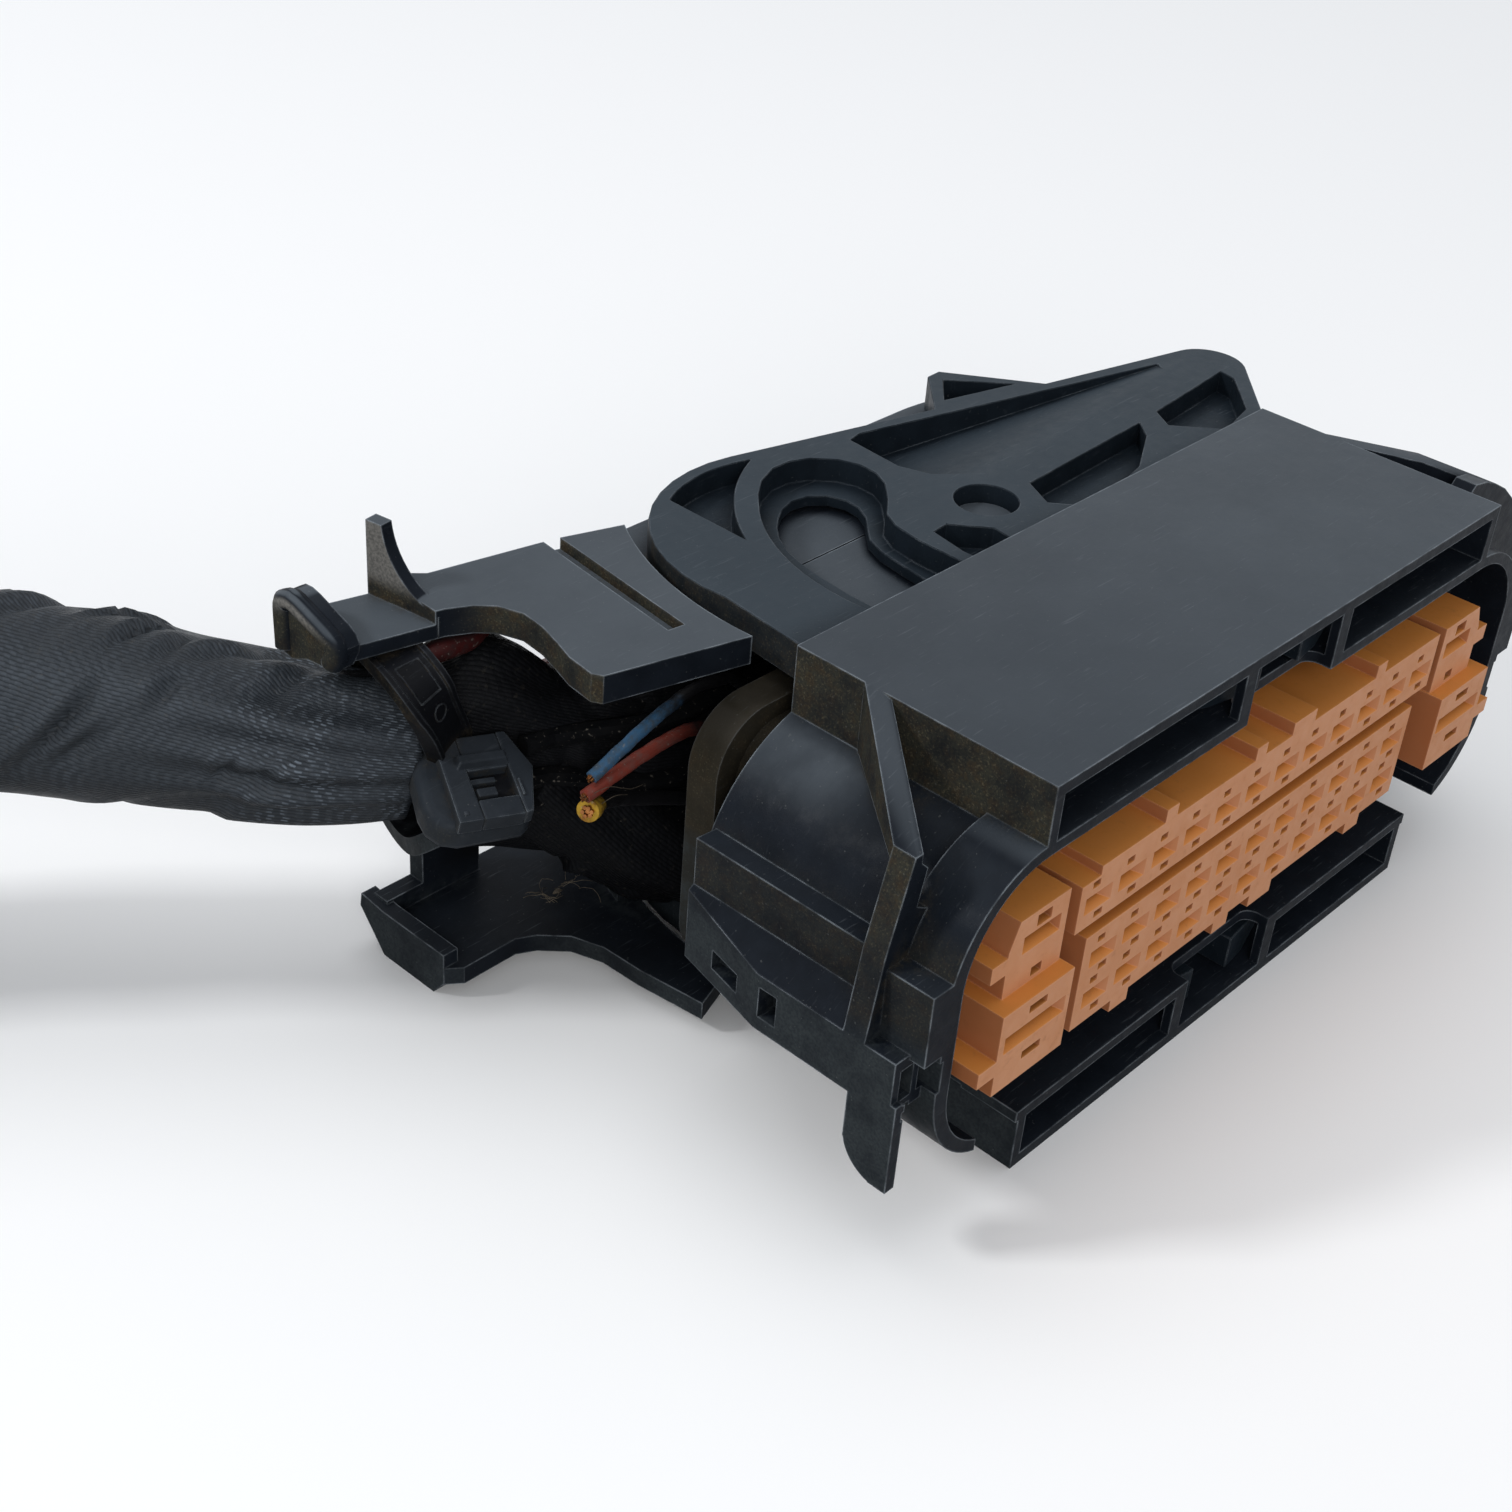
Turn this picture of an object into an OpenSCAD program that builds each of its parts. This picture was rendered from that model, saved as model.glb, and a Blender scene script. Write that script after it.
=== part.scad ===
// Sealed lever connector of an anti-lock brake module, with a short length of its cut loom.
// Millimetres. The origin is the middle of the mating face. X runs along the contact rows,
// the plug pushes on along -Y, and Z is up.

/* [Contact grid] */
// Spacing of the contacts along a row
pitch = 2.54; // [2.45:0.01:2.65]
// Contacts in the upper row
upper_columns = 12; // [11:1:12]
// Contacts in each of the two lower rows
lower_columns = 11; // [10:1:11]
// Height of the upper row above the middle plane
upper_row_z = 2.9; // [2.8:0.05:3]
// Height of the middle row
middle_row_z = -0.75; // [-0.85:0.05:-0.65]
// Height of the lower row
lower_row_z = -3.15; // [-3.2:0.05:-3.05]
// Side of the square contact chamber
chamber = 1.3; // [1.2:0.05:1.4]
// Width of the lead-in funnel at the face
funnel_w = 2; // [1.8:0.05:2.05]
// Height of the lead-in funnel at the face
funnel_h = 0.95; // [0.8:0.05:1]

/* [Carrier] */
// Depth of the carrier from the mating face to its base
carrier_d = 9.6; // [9:0.1:10]
// Height of the top of the carrier
carrier_top = 4.75; // [4.6:0.05:5]
// Bottom of the upper contact block
upper_block_z = 1.65; // [1.5:0.05:1.8]
// Top of the lower contact block
lower_block_z = 0.85; // [0.7:0.05:1]
// Bottom of the lower contact block
carrier_bottom = -4.55; // [-4.8:0.05:-4.4]
// Width of a power cell
power_w = 4.9; // [4.5:0.1:5.2]
// Gap between the contact blocks and the power cells
power_gap = 0.9; // [0.7:0.05:1.1]
// How far the lower power cell stands forward
power_lead = 0.8; // [0.6:0.1:0.9]
// Height of the keying ribs
key_h = 0.7; // [0.5:0.05:0.9]

/* [Hood] */
// Gap between the power cells and the hood wall
mouth_gap = 2.1; // [1.8:0.1:2.5]
// Half height of the cavity
cavity_h = 7.5; // [7.3:0.05:7.8]
// Wall of the hood
hood_wall = 0.9; // [0.8:0.05:1.1]
// Thickness of the decks that carry the lever
deck_t = 0.6; // [0.5:0.05:0.8]
// Thickness of the roof over the lever
roof_t = 0.6; // [0.5:0.05:0.8]
// Depth of the roof from the mating face
roof_d = 14.2; // [13.5:0.1:15]
// Depth of the decks
deck_d = 22.2; // [21.5:0.1:22.5]
// Corner radius of the cavity at the mouth
mouth_r = 4.8; // [4.4:0.1:5.2]
// Corner radius of the rounded ends behind the mouth
dome_r = 6.9; // [6.5:0.1:7.1]
// Width of the middle window that takes the header peg
peg_window = 7.2; // [6.5:0.1:8]

/* [Lever] */
// Radius that the cam plates sweep
lever_r = 17.6; // [17.2:0.1:18]
// Thickness of a cam plate
lever_t = 1.9; // [1.7:0.05:2.1]
// Running gap below a cam plate
lever_gap = 0.2; // [0.15:0.05:0.3]
// Gap between a cam plate and the roof
roof_gap = 0.3; // [0.2:0.05:0.5]
// Bore of the pivot
pivot_bore = 3.3; // [3:0.1:3.6]
// Reach of the lever from its pivot to the tip
lever_reach = 25; // [24:0.25:26]
// Depth of the pockets in the cam plates
pocket_depth = 1.25; // [1:0.05:1.4]
// Width of the cam groove
groove_w = 3.4; // [3.2:0.1:3.8]

/* [Wire cover] */
// Wall of the wire cover
cover_wall = 1.2; // [1:0.1:1.5]
// Back of the wire cover
cover_back = 30.5; // [30:0.1:31.5]
// Height of the upper wing
wing_z = 10.15; // [10:0.05:10.3]
// Thickness of the wings
wing_t = 1.45; // [1.3:0.05:1.6]
// Turn of the upper wing seen from above
wing_turn = 14; // [13:0.5:15]
// Height of the fin on the upper wing
fin_h = 3.8; // [3:0.1:4.5]

/* [Loom] */
// Diameter of the taped loom
loom_d = 9; // [8.6:0.1:9.4]
// Diameter of the loom where the tie pulls it in
loom_neck_d = 7; // [6.8:0.1:7.4]
// Diameter of a signal wire
wire_d = 1; // [0.9:0.05:1]
// Diameter of a power wire
power_wire_d = 1.8; // [1.6:0.1:1.8]
// Width of the cable tie
tie_w = 2.8; // [2.4:0.1:3.2]
// Thickness of the cable tie
tie_t = 0.9; // [0.8:0.1:1.1]

/* [Hidden] */
$fn = 48;
eps = 0.01;
fit = 0.2;

// Rows of contacts: height and number of columns
rows = [[upper_row_z, upper_columns], [middle_row_z, lower_columns], [lower_row_z, lower_columns]];
cell_shift = 0.2;
function column_x(row, i) = pitch * (i - (rows[row][1] - 1) / 2) + cell_shift;

// Carrier widths, from the contact grid
upper_half = pitch * upper_columns / 2;
lower_half = pitch * lower_columns / 2 + 0.15;
power_in = upper_half + power_gap;
power_out = power_in + power_w;
power_x = [power_in + 1.75, power_in + 2.35];
power_split = 0.85;
power_rows = [upper_row_z + 0.3, middle_row_z - 0.25];

// Hood sizes, from the carrier outwards
cavity_w = power_out + mouth_gap;
hood_w = cavity_w + hood_wall;
deck_z = cavity_h + deck_t;
lever_z = deck_z + lever_gap;
lever_top = lever_z + lever_t;
roof_in = lever_top + roof_gap;
roof_z = roof_in + roof_t;
dome_in_h = cavity_h - 0.3;
pocket_w = lever_r + 0.4;
side_t = 0.6;
roof_w = pocket_w + side_t;
lower_roof_w = 17.1;
lower_side_d = 10;
rim_clear = 0.7;
pivot = [0, lever_r + rim_clear];
mouth_d = 3.2;
flange_y = 2.5;
flange_t = 1.2;
divider_t = 0.9;
divider_d = 0.5;

// Seals and retainer behind the carrier
base_t = 1;
base_y = carrier_d + base_t;
rear_wall_y = 12.4;
rear_w = cavity_w - 2.5;
rear_h = 6.6;
rear_r = 3;
seal_y = base_y + fit;
seal_t = 2.2;
retainer_y = seal_y + seal_t + fit;
retainer_neck_y = roof_d + 1.4;
retainer_back_y = retainer_neck_y + 1.8;
retainer_w = rear_w + 1;
retainer_h = 7.3;
crimp_y = retainer_y - 1.2;

// Places of the loom: lanes that the wires take to the left, then the taped trunk
lane_y = [20.9, 22.3, 23.7, 25.1, 26.5];
power_lane_y = 28.2;
lane_end_x = -17.2;
bend_r = 2.4;
power_bend_r = 10.5;
trunk_x = -24.5;
trunk_c = [27.5, 1.6];
lane_seat = [-3.57, -2.55, -1.53, -0.51, 0.51];
row_seat = [1.45, -0.45, -1.6];
seat_gap = 0.3;
loom_route = [
    [trunk_x, trunk_c[0], trunk_c[1]], [-26.4, 28.1, 1.9], [-28.2, 28.95, 2.3], [-29.9, 30, 2.65],
    [-31.45, 31.3, 2.95], [-32.9, 32.75, 3.25], [-35, 35, 3.8], [-38, 38.1, 4.4], [-41.3, 41.5, 5],
    [-45.1, 45.2, 5.2], [-49.3, 49, 4.8], [-54, 52.6, 3.5], [-59, 55.9, 1.5], [-64, 58.8, -0.9],
    [-69.5, 61.5, -3.3], [-75.5, 63.8, -5.1], [-82, 65.6, -6], [-88.5, 67, -6.2]];
neck_rings = [3, 6];

plastic = [0.13, 0.14, 0.16];
orange = [0.72, 0.42, 0.24];
rubber = [0.3, 0.32, 0.35];
tin = [0.75, 0.74, 0.7];

// Points along an arc and along a spiral
function polar(r, a) = r * [cos(a), sin(a)];
function arc(c, r, a0, a1, n = 12) = [for (i = [0:n]) c + polar(r, a0 + (a1 - a0) * i / n)];
function spiral(r0, r1, a0, a1, n = 14) =
    [for (i = [0:n]) polar(r0 + (r1 - r0) * i / n, a0 + (a1 - a0) * i / n)];
function mix(a, b, t) = a + (b - a) * t;
function smooth(t) = t * t * (3 - 2 * t);

// A profile drawn in X and Z, extruded along Y
module along_y(y0, y1) {
    translate([0, y1, 0]) rotate([90, 0, 0]) linear_extrude(y1 - y0) children();
}

// A profile drawn in Y and Z, extruded along X
module along_x(x0, x1) {
    translate([x0, 0, 0]) rotate([90, 0, 90]) linear_extrude(x1 - x0) children();
}

// A plan drawn in X and Y, extruded along Z
module along_z(z0, z1) {
    translate([0, 0, z0]) linear_extrude(z1 - z0) children();
}

module block(x0, x1, y0, y1, z0, z1) {
    translate([x0, y0, z0]) cube([x1 - x0, y1 - y0, z1 - z0]);
}

module mirrored_z() {
    children();
    mirror([0, 0, 1]) children();
}

module mirrored_x() {
    children();
    mirror([1, 0, 0]) children();
}

// Rectangle with round corners, centred
module rounded(w, h, r) {
    square([2 * w, 2 * (h - r)], center = true);
    square([2 * (w - r), 2 * h], center = true);
    for (sx = [-1, 1], sz = [-1, 1]) translate([sx * (w - r), sz * (h - r)]) circle(r);
}

// Tube swept along points: rings square to the path, closed at both ends
function unit(v) = v / norm(v);
function heading(p, i) = unit(p[min(i + 1, len(p) - 1)] - p[max(i - 1, 0)]);
function side_of(d) = unit(cross(d, abs(d[2]) > 0.9 ? [1, 0, 0] : [0, 0, 1]));
module tube(p, d, n) {
    ring = [for (i = [0:len(p) - 1])
        let(t = heading(p, i), u = side_of(t), v = cross(t, u), r = (is_list(d) ? d[i] : d) / 2)
        for (k = [0:n - 1]) p[i] + r * (u * cos(360 * k / n) + v * sin(360 * k / n))];
    last = (len(p) - 1) * n;
    sides = [for (i = [0:len(p) - 2], k = [0:n - 1])
        [i * n + k, i * n + (k + 1) % n, (i + 1) * n + (k + 1) % n, (i + 1) * n + k]];
    ends = [[for (k = [n - 1:-1:0]) k], [for (k = [0:n - 1]) last + k]];
    polyhedron(ring, concat(sides, ends), convexity = 4);
}

// Shell: hood, lever pockets, flanges and side blocks in one moulding
module hood_plan(y_front) {
    if (y_front) rounded(cavity_w, cavity_h, mouth_r);
    else rounded(cavity_w, dome_in_h, dome_r);
}

// One lever pocket: deck, roof, side walls and the dividers of the three windows
module lever_pocket(half, wall_depth) {
    block(-half, half, 0, roof_d, roof_in, roof_z);
    block(-half, half, 0, roof_d, cavity_h, deck_z);
    mirrored_x() {
        block(half - side_t, half, 0, wall_depth, cavity_h, roof_z);
        block(peg_window / 2, peg_window / 2 + divider_t, 0, divider_d, cavity_h, roof_z);
    }
}

// Set-back edge of the deck in the middle window
notch_d = 1.3;
notch_r = 0.7;
module peg_notch() {
    translate([-peg_window / 2, -1]) square([peg_window, 1 + notch_d - notch_r]);
    translate([notch_r - peg_window / 2, -1]) square([peg_window - 2 * notch_r, 1 + notch_d]);
    mirrored_x() translate([peg_window / 2 - notch_r, notch_d - notch_r]) circle(notch_r);
}

deck_half = 14;
pin_h = 1.1;
pin_clear = 0.09;
module deck() {
    block(-deck_half, deck_half, roof_d - eps, deck_d, cavity_h, deck_z);
    translate([pivot[0], pivot[1], cavity_h]) cylinder(d = pivot_bore - 2 * pin_clear, h = deck_t + pin_h);
}

// Stepped rail on each end of the hood, drawn in towards the rear, with a lattice in front
rail_x = hood_w + 2;
rail_top = 3.55;
rail_base = [-2.75, 0.25];
rail_steps = [[0.45, rail_top + 0.15], [0.45, 1.2], [2, rail_base[1]], [2, rail_base[0]], [-1, rail_base[0]]];
rail_front = 0.8;
rail_rear = roof_d - 0.2;
rail_taper = 1.25;
base_rear = 8.6;
module rail() {
    difference() {
        along_y(flange_y, rail_rear)
            polygon(concat([[1.5 - hood_w, rail_top]], [for (s = rail_steps) [-hood_w - s[0], s[1]]]));
        translate([-rail_x, 0, rail_base[0] - 1]) linear_extrude(rail_top - rail_base[0] + 2) polygon([
            [-1, base_rear], [0, base_rear], [rail_taper, rail_rear], [rail_taper, rail_rear + 1],
            [-1, rail_rear + 1]]);
    }
    block(-rail_x, -hood_w + 1, rail_front, flange_y + 1, rail_base[0], rail_base[1]);
    block(-hood_w - 1.1, -hood_w + 0.8, 0, flange_y + eps, 0, 3.75);
}

module rail_cuts() {
    block(-rail_x + 0.45, -hood_w - 0.75, -1, flange_y - 0.5, -2.1, -0.4);
    block(-hood_w - 0.35, -hood_w + 0.2, -1, flange_y - 0.5, -2.1, -0.4);
    block(-rail_x + 0.45, -hood_w - 0.75, -1, flange_y - 0.5, -3, -2.5);
    block(-rail_x - 1, -rail_x + 1, base_rear - 1.2, base_rear - 0.2, -2, -0.4);
    block(-rail_x - 1, -rail_x + 1.3, base_rear + 1.4, base_rear + 3.3, -1.9, -0.9);
}

// Flanges beside the mouth, each with a strut that runs back up to the roof
strut_y = 9.3;
strut_w = 0.45;
kink = [-hood_w - 0.1, 8.9];
module strut_root(s) {
    block(s - strut_w / 2, s + strut_w / 2, strut_y, strut_y + 1, roof_z - 0.9, roof_z);
    block(s - strut_w / 2, s + strut_w / 2, strut_y, strut_y + 1, deck_z - 0.5, deck_z);
}

module left_flange() {
    along_y(flange_y, flange_y + flange_t) polygon([
        [-hood_w + 2, rail_base[0]], [-rail_x, rail_base[0]], [-rail_x, rail_base[1]],
        [-hood_w - 1.3, 4.4], kink, [kink[0] + 0.9, kink[1] - 0.9], [0.4 - hood_w, 6.2], [2.5 - hood_w, 5]]);
    hull() {
        block(kink[0], kink[0] + strut_w, flange_y, flange_y + flange_t, kink[1] - 0.9, kink[1]);
        strut_root(-roof_w + strut_w / 2);
    }
}

// The right flange is rounder and stands further out
guard = [
    [18.5, 8], [21, 10.4], [22.3, 10.15], [23.5, 9.65], [24.9, 8.9], [26.2, 7.9], [27.3, 6.85], [28.2, 5.6],
    [28.85, 4.3], [29.2, 3], [29.2, 0.25], [22, 0.25]];
module right_flange() {
    along_y(flange_y, flange_y + flange_t) polygon([for (p = guard) [p[0] + hood_w - 24, p[1]]]);
    hull() {
        block(hood_w - 1.4, hood_w - 0.6, flange_y, flange_y + flange_t, 8.8, 9.7);
        block(hood_w - 3.5, hood_w - 2.7, 5.4, 6.2, 9.8, 10.7);
        strut_root(roof_w - strut_w / 2);
    }
}

// Tab that hangs from the left rail
tab_y = [0.5, 3.1];
tab_t = 0.6;
tab_low = -6.9;
module tab() {
    along_x(-rail_x, -rail_x + tab_t) {
        translate([tab_y[0], tab_low + 1.6]) square([tab_y[1] - tab_y[0], -tab_low - 3.6]);
        translate([tab_y[0], tab_low]) square([1, 2]);
        intersection() {
            translate([tab_y[0] + 0.6, tab_low + 2]) circle(2);
            translate([tab_y[0], tab_low]) square([tab_y[1] - tab_y[0], 2]);
        }
    }
}

corner_cut = [17.3, 20.4];
module shell() color(plastic) difference() {
    union() {
        along_y(0, mouth_d) rounded(hood_w, deck_z, mouth_r + hood_wall);
        along_y(mouth_d - eps, roof_d) rounded(hood_w, deck_z - 0.1, dome_r + hood_wall);
        lever_pocket(roof_w, roof_d);
        mirror([0, 0, 1]) lever_pocket(lower_roof_w, lower_side_d);
        mirrored_z() deck();
        mirrored_x() rail();
        left_flange();
        right_flange();
        tab();
    }
    along_y(-1, mouth_d + eps) hood_plan(true);
    along_y(mouth_d, rear_wall_y) hood_plan(false);
    along_y(rear_wall_y - eps, roof_d + 1) rounded(rear_w, rear_h, rear_r);
    mirrored_z() along_z(cavity_h - 1, deck_z + eps) peg_notch();
    mirrored_x() rail_cuts();
    mirrored_x() block(corner_cut[0], corner_cut[1], -1, carrier_d - 1.5, -roof_z, -4.6);
}

// Carrier: contact blocks with funnels, keyed power cells and the base flange
// Square funnel that narrows from the face to the contact entry
entry_w = 0.9;
entry_h = 0.35;
funnel_d = 0.5;
module funnel(w, h, narrow) {
    intersection() {
        along_z(-h, h) polygon([
            [-w / 2, -eps], [w / 2, -eps], [narrow / 2, funnel_d], [-narrow / 2, funnel_d]]);
        along_x(-w, w) polygon([
            [-eps, -h / 2], [-eps, h / 2], [funnel_d, entry_h / 2], [funnel_d, -entry_h / 2]]);
    }
}

// A probe slot in the face, centred on x and z
module slot(x, z, w, h) block(x - w / 2, x + w / 2, -1, probe_d, z - h / 2, z + h / 2);

// One signal cell: funnel, entry, chamber and the two probe slots above and below
slot_h = 0.36;
probe_d = 0.9;
probes = [[-0.35, 1.02, 0.55], [0.15, -0.8, 0.62]];
cell_wall = 1.4;
module signal_cell() {
    funnel(funnel_w, funnel_h, entry_w);
    block(-entry_w / 2, entry_w / 2, 0, cell_wall + eps, -entry_h / 2, entry_h / 2);
    block(-chamber / 2, chamber / 2, cell_wall, base_y + 1, -chamber / 2, chamber / 2);
    for (q = probes) slot(q[0], q[1], q[2], slot_h);
}

// Power cells, upper then lower: the face, the widths of the funnel, blade and chamber,
// and the probe slots as [z, width, height]
power_face = [0, -power_lead];
power_funnel = [2.6, 4.3];
blade_w = [2.2, 3.4];
blade_h = 0.35;
power_chamber = [2.7, 3.8];
power_chamber_h = 1.7;
power_probes = [[[0.95, 1, 0.6], [-1.9, 0.75, 0.5]], [[1.2, 1.25, 0.42], [-1.35, 1.3, 0.42]]];
module power_cell(c) {
    translate([0, power_face[c], 0]) {
        funnel(power_funnel[c], funnel_h, blade_w[c]);
        block(-blade_w[c] / 2, blade_w[c] / 2, 0, cell_wall + eps, -blade_h / 2, blade_h / 2);
        for (q = power_probes[c]) slot(0, q[0], q[1], q[2]);
    }
    block(-power_chamber[c] / 2, power_chamber[c] / 2, power_face[c] + cell_wall, base_y + 1,
        -power_chamber_h / 2, power_chamber_h / 2);
}

// Keying ribs along the mating direction: left edge and width, on the top and under the bottom
top_keys = [[-9.2, 0.9], [-1.9, 0.9], [1.3, 2], [9, 0.9]];
bottom_keys = [[-10.9, 1.4], [-2.4, 1.3], [0.8, 2], [9.9, 1.4]];
left_step = 1.35;
step_drop = 0.5;
upper_end = upper_half + cell_shift;
module contact_carrier() color(orange) difference() {
    union() {
        block(-upper_half, upper_end, 0, carrier_d + eps, upper_block_z, carrier_top - step_drop);
        block(-upper_half + left_step, upper_end, 0, carrier_d + eps, upper_block_z, carrier_top);
        block(-lower_half + 0.9, lower_half - 0.9, 0.8, carrier_d + eps,
            lower_block_z - eps, upper_block_z + eps);
        block(-lower_half, lower_half + cell_shift, 0, carrier_d + eps, carrier_bottom, lower_block_z);
        for (k = top_keys) block(k[0], k[0] + k[1], 0, carrier_d + eps, upper_block_z, carrier_top + key_h);
        for (k = bottom_keys) block(k[0], k[0] + k[1], 0, carrier_d + eps,
            carrier_bottom - key_h, carrier_bottom + 1);
        mirrored_x() power_body();
        along_y(carrier_d, base_y) rounded(cavity_w - fit, dome_in_h - fit, dome_r - fit);
    }
    for (r = [0:2], i = [0:rows[r][1] - 1]) translate([column_x(r, i), 0, rows[r][0]]) signal_cell();
    mirrored_x() {
        for (c = [0, 1]) translate([-power_x[c], 0, power_rows[c]]) power_cell(c);
    }
}

// Bodies of the power cells: the upper one has a cut corner, the lower one stands forward,
// and each has a side key
side_key = [[2.2, 3.1, power_out + 0.2], [-2.45, -1.6, power_out + 1.2]];
lower_cell = [power_in - 0.1, power_out];
upper_side = power_out - 0.85;
module power_body() {
    along_y(power_face[0], carrier_d + eps) polygon([
        [-power_in, power_split - eps], [-power_in, carrier_top], [-upper_side + 0.55, carrier_top],
        [-upper_side, carrier_top - 1.4], [-upper_side, power_split - eps]]);
    block(-lower_cell[1], -lower_cell[0], power_face[1], carrier_d + eps, carrier_bottom + 0.95, power_split);
    for (c = [0, 1]) block(-side_key[c][2], -upper_side + 1, power_face[c], carrier_d + eps,
        side_key[c][0], side_key[c][1]);
}

// Rubber ring on the carrier's base, inside the hood, notched round the longer side keys
ring_d = 1.8;
ring_w = 0.6;
module perimeter_seal() color(rubber) along_y(carrier_d - ring_d, carrier_d) difference() {
    rounded(cavity_w - fit, dome_in_h - fit, dome_r - fit);
    rounded(cavity_w - fit - ring_w, dome_in_h - fit - ring_w, dome_r - fit - ring_w);
    mirrored_x() translate([-side_key[1][2] - fit, side_key[1][0] - fit])
        square([2, side_key[1][1] - side_key[1][0] + 2 * fit]);
}

// Places that carry a wire, as [row, column, lane], and the power cells that carry one
signal_wires = [
    [0, 1, 0], [0, 3, 1], [0, 5, 2], [0, 7, 3], [0, 10, 4],
    [1, 1, 0], [1, 3, 1], [1, 5, 2], [1, 7, 3], [1, 9, 4],
    [2, 3, 1], [2, 5, 2], [2, 7, 3], [2, 9, 4], [2, 1, 0]];
function wired(r, c) = len([for (w = signal_wires) if (w[0] == r && w[1] == c) 1]) > 0;

// Holes through the seal and the retainer, one for each contact
module wire_holes(y0, y1, signal_hole, power_hole) {
    for (r = [0:2], i = [0:rows[r][1] - 1])
        translate([column_x(r, i), y1, rows[r][0]]) rotate([90, 0, 0])
            cylinder(d = signal_hole, h = y1 - y0);
    for (sx = [-1, 1], c = [0, 1])
        translate([sx * power_x[c], y1, power_rows[c]]) rotate([90, 0, 0])
            cylinder(d = power_hole, h = y1 - y0);
}

hole_clear = 0.2;
module wire_seal() color(rubber) difference() {
    along_y(seal_y, seal_y + seal_t) rounded(rear_w - fit, rear_h - fit, rear_r - fit);
    wire_holes(seal_y - 1, seal_y + seal_t + 1, wire_d + hole_clear, power_wire_d + hole_clear);
}

// Rear plate that holds the seal in the shell
module seal_retainer() color(plastic) difference() {
    union() {
        along_y(retainer_y, retainer_neck_y + eps) rounded(rear_w - fit, rear_h - fit, rear_r - fit);
        along_y(retainer_neck_y, retainer_back_y) rounded(retainer_w, retainer_h, rear_r);
    }
    wire_holes(retainer_y - 1, retainer_back_y + 1, wire_d + 2 * hole_clear, power_wire_d + 2 * hole_clear);
}

// Contacts: a square box on the carrier side and a crimp barrel on the wire
module signal_contact(r, i) {
    s = chamber - fit;
    translate([column_x(r, i), 0, rows[r][0]]) {
        difference() {
            block(-s / 2, s / 2, cell_wall + 0.1, crimp_y - 2, -s / 2, s / 2);
            block(-0.35, 0.35, cell_wall - 1, cell_wall + 4, -0.35, 0.35);
        }
        translate([0, crimp_y, 0]) rotate([90, 0, 0]) cylinder(d = wire_d - 0.1, h = 2.5);
    }
}

module row_contacts(r) color(tin) for (i = [0:rows[r][1] - 1]) signal_contact(r, i);
module upper_row_contacts() row_contacts(0);
module middle_row_contacts() row_contacts(1);
module lower_row_contacts() row_contacts(2);

module power_contact(c) {
    w = power_chamber[c] - fit;
    h = power_chamber_h - fit;
    difference() {
        block(-w / 2, w / 2, cell_wall + 0.1, crimp_y - 2, -h / 2, h / 2);
        block(-blade_w[c] / 2, blade_w[c] / 2, cell_wall - 1, cell_wall + 5, -blade_h / 2, blade_h / 2);
    }
    translate([0, crimp_y, 0]) rotate([90, 0, 0]) cylinder(d = power_wire_d - 0.1, h = 2.5);
}

module power_contacts() color(tin) for (sx = [-1, 1], c = [0, 1])
    translate([sx * power_x[c], 0, power_rows[c]]) power_contact(c);

// Plugs in the seal where no wire comes in: the left power cells are plugged too
module plug(x, z, d) translate([x, retainer_back_y + 0.4, z]) rotate([90, 0, 0])
    cylinder(d = d, h = retainer_back_y + 0.4 - crimp_y);
module cavity_plugs() color(rubber) {
    for (r = [0:2], i = [0:rows[r][1] - 1]) if (!wired(r, i)) plug(column_x(r, i), rows[r][0], wire_d);
    for (c = [0, 1]) plug(-power_x[c], power_rows[c], power_wire_d);
}

// Lever: two cam plates joined by a bail at the tip, drawn about the pivot
lobe_r = 8.4;
lobe_c = polar(lever_r - lobe_r, 159);
tip_r = 2.2;
tip_c = [lever_reach - tip_r, 2.1];
back_slope = -14;
back_start = lobe_c + polar(lobe_r, 90 + back_slope);
function back_edge(x) = back_start[1] + (x - back_start[0]) * tan(back_slope);
tooth = [[6, 0], [8.9, 3.6], [9.9, 3.9], [13.4, 0]];
lever_outline = concat(
    arc(lobe_c, lobe_r, 190, 90 + back_slope),
    [for (p = tooth) [p[0], back_edge(p[0]) + p[1]]],
    arc(tip_c, tip_r, 90 + back_slope, -42),
    [[20.2, -3.2], [17.2, -3.8], [16.8, -6.5]],
    arc([0, 0], lever_r, 300, 190));

// Cam groove: a spiral slot with a closed round end, a ledge round it and a mouth at the rim
groove_a = [198, 215, 232, 248, 262];
groove_in = [7.1, 8, 9.3, 10.7, 12];
groove_end = [
    [-6.5, -0.2], [-6.25, 1.4], [-5.75, 2.6], [-5, 3.4], [-4.2, 4.2], [-3.7, 5.1], [-3.6, 6], [-3.95, 6.95],
    [-4.8, 7.6], [-5.8, 7.75], [-6.8, 7.45], [-7.6, 6.95], [-8.4, 6.3], [-9.1, 5.5], [-9.75, 4.3],
    [-10.2, 2.8], [-10.4, 1.3], [-10.55, -0.2]];
ledge_depth = 1.3;
groove_grow = groove_w - 3.4;
module groove_plan() {
    last = len(groove_a) - 1;
    polygon(concat(
        groove_end,
        [for (i = [0:last]) polar(groove_in[i] + mix(4, 3.6, i / last) + groove_grow, groove_a[i])],
        [for (i = [last:-1:0]) polar(groove_in[i], groove_a[i])]));
    translate([-groove_w / 2, -lever_r - 1]) square([groove_w, lever_r + 1 - groove_in[last]]);
}

ledge_in = [
    [-8.4, 7.7], [-7.2, 8.6], [-5.8, 9.15], [-4.6, 9.15], [-3.5, 8.7], [-2.5, 7.7], [-2.05, 6.6], [-2.1, 5.5],
    [-2.6, 4.5], [-3.8, 3.25], [-5, 2.3], [-5.6, 1.2], [-5.85, -0.5], [-5.85, -5]];
module ledge_plan() polygon(concat(ledge_in, spiral(13.4, 11.6, 205, 146)));

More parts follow.
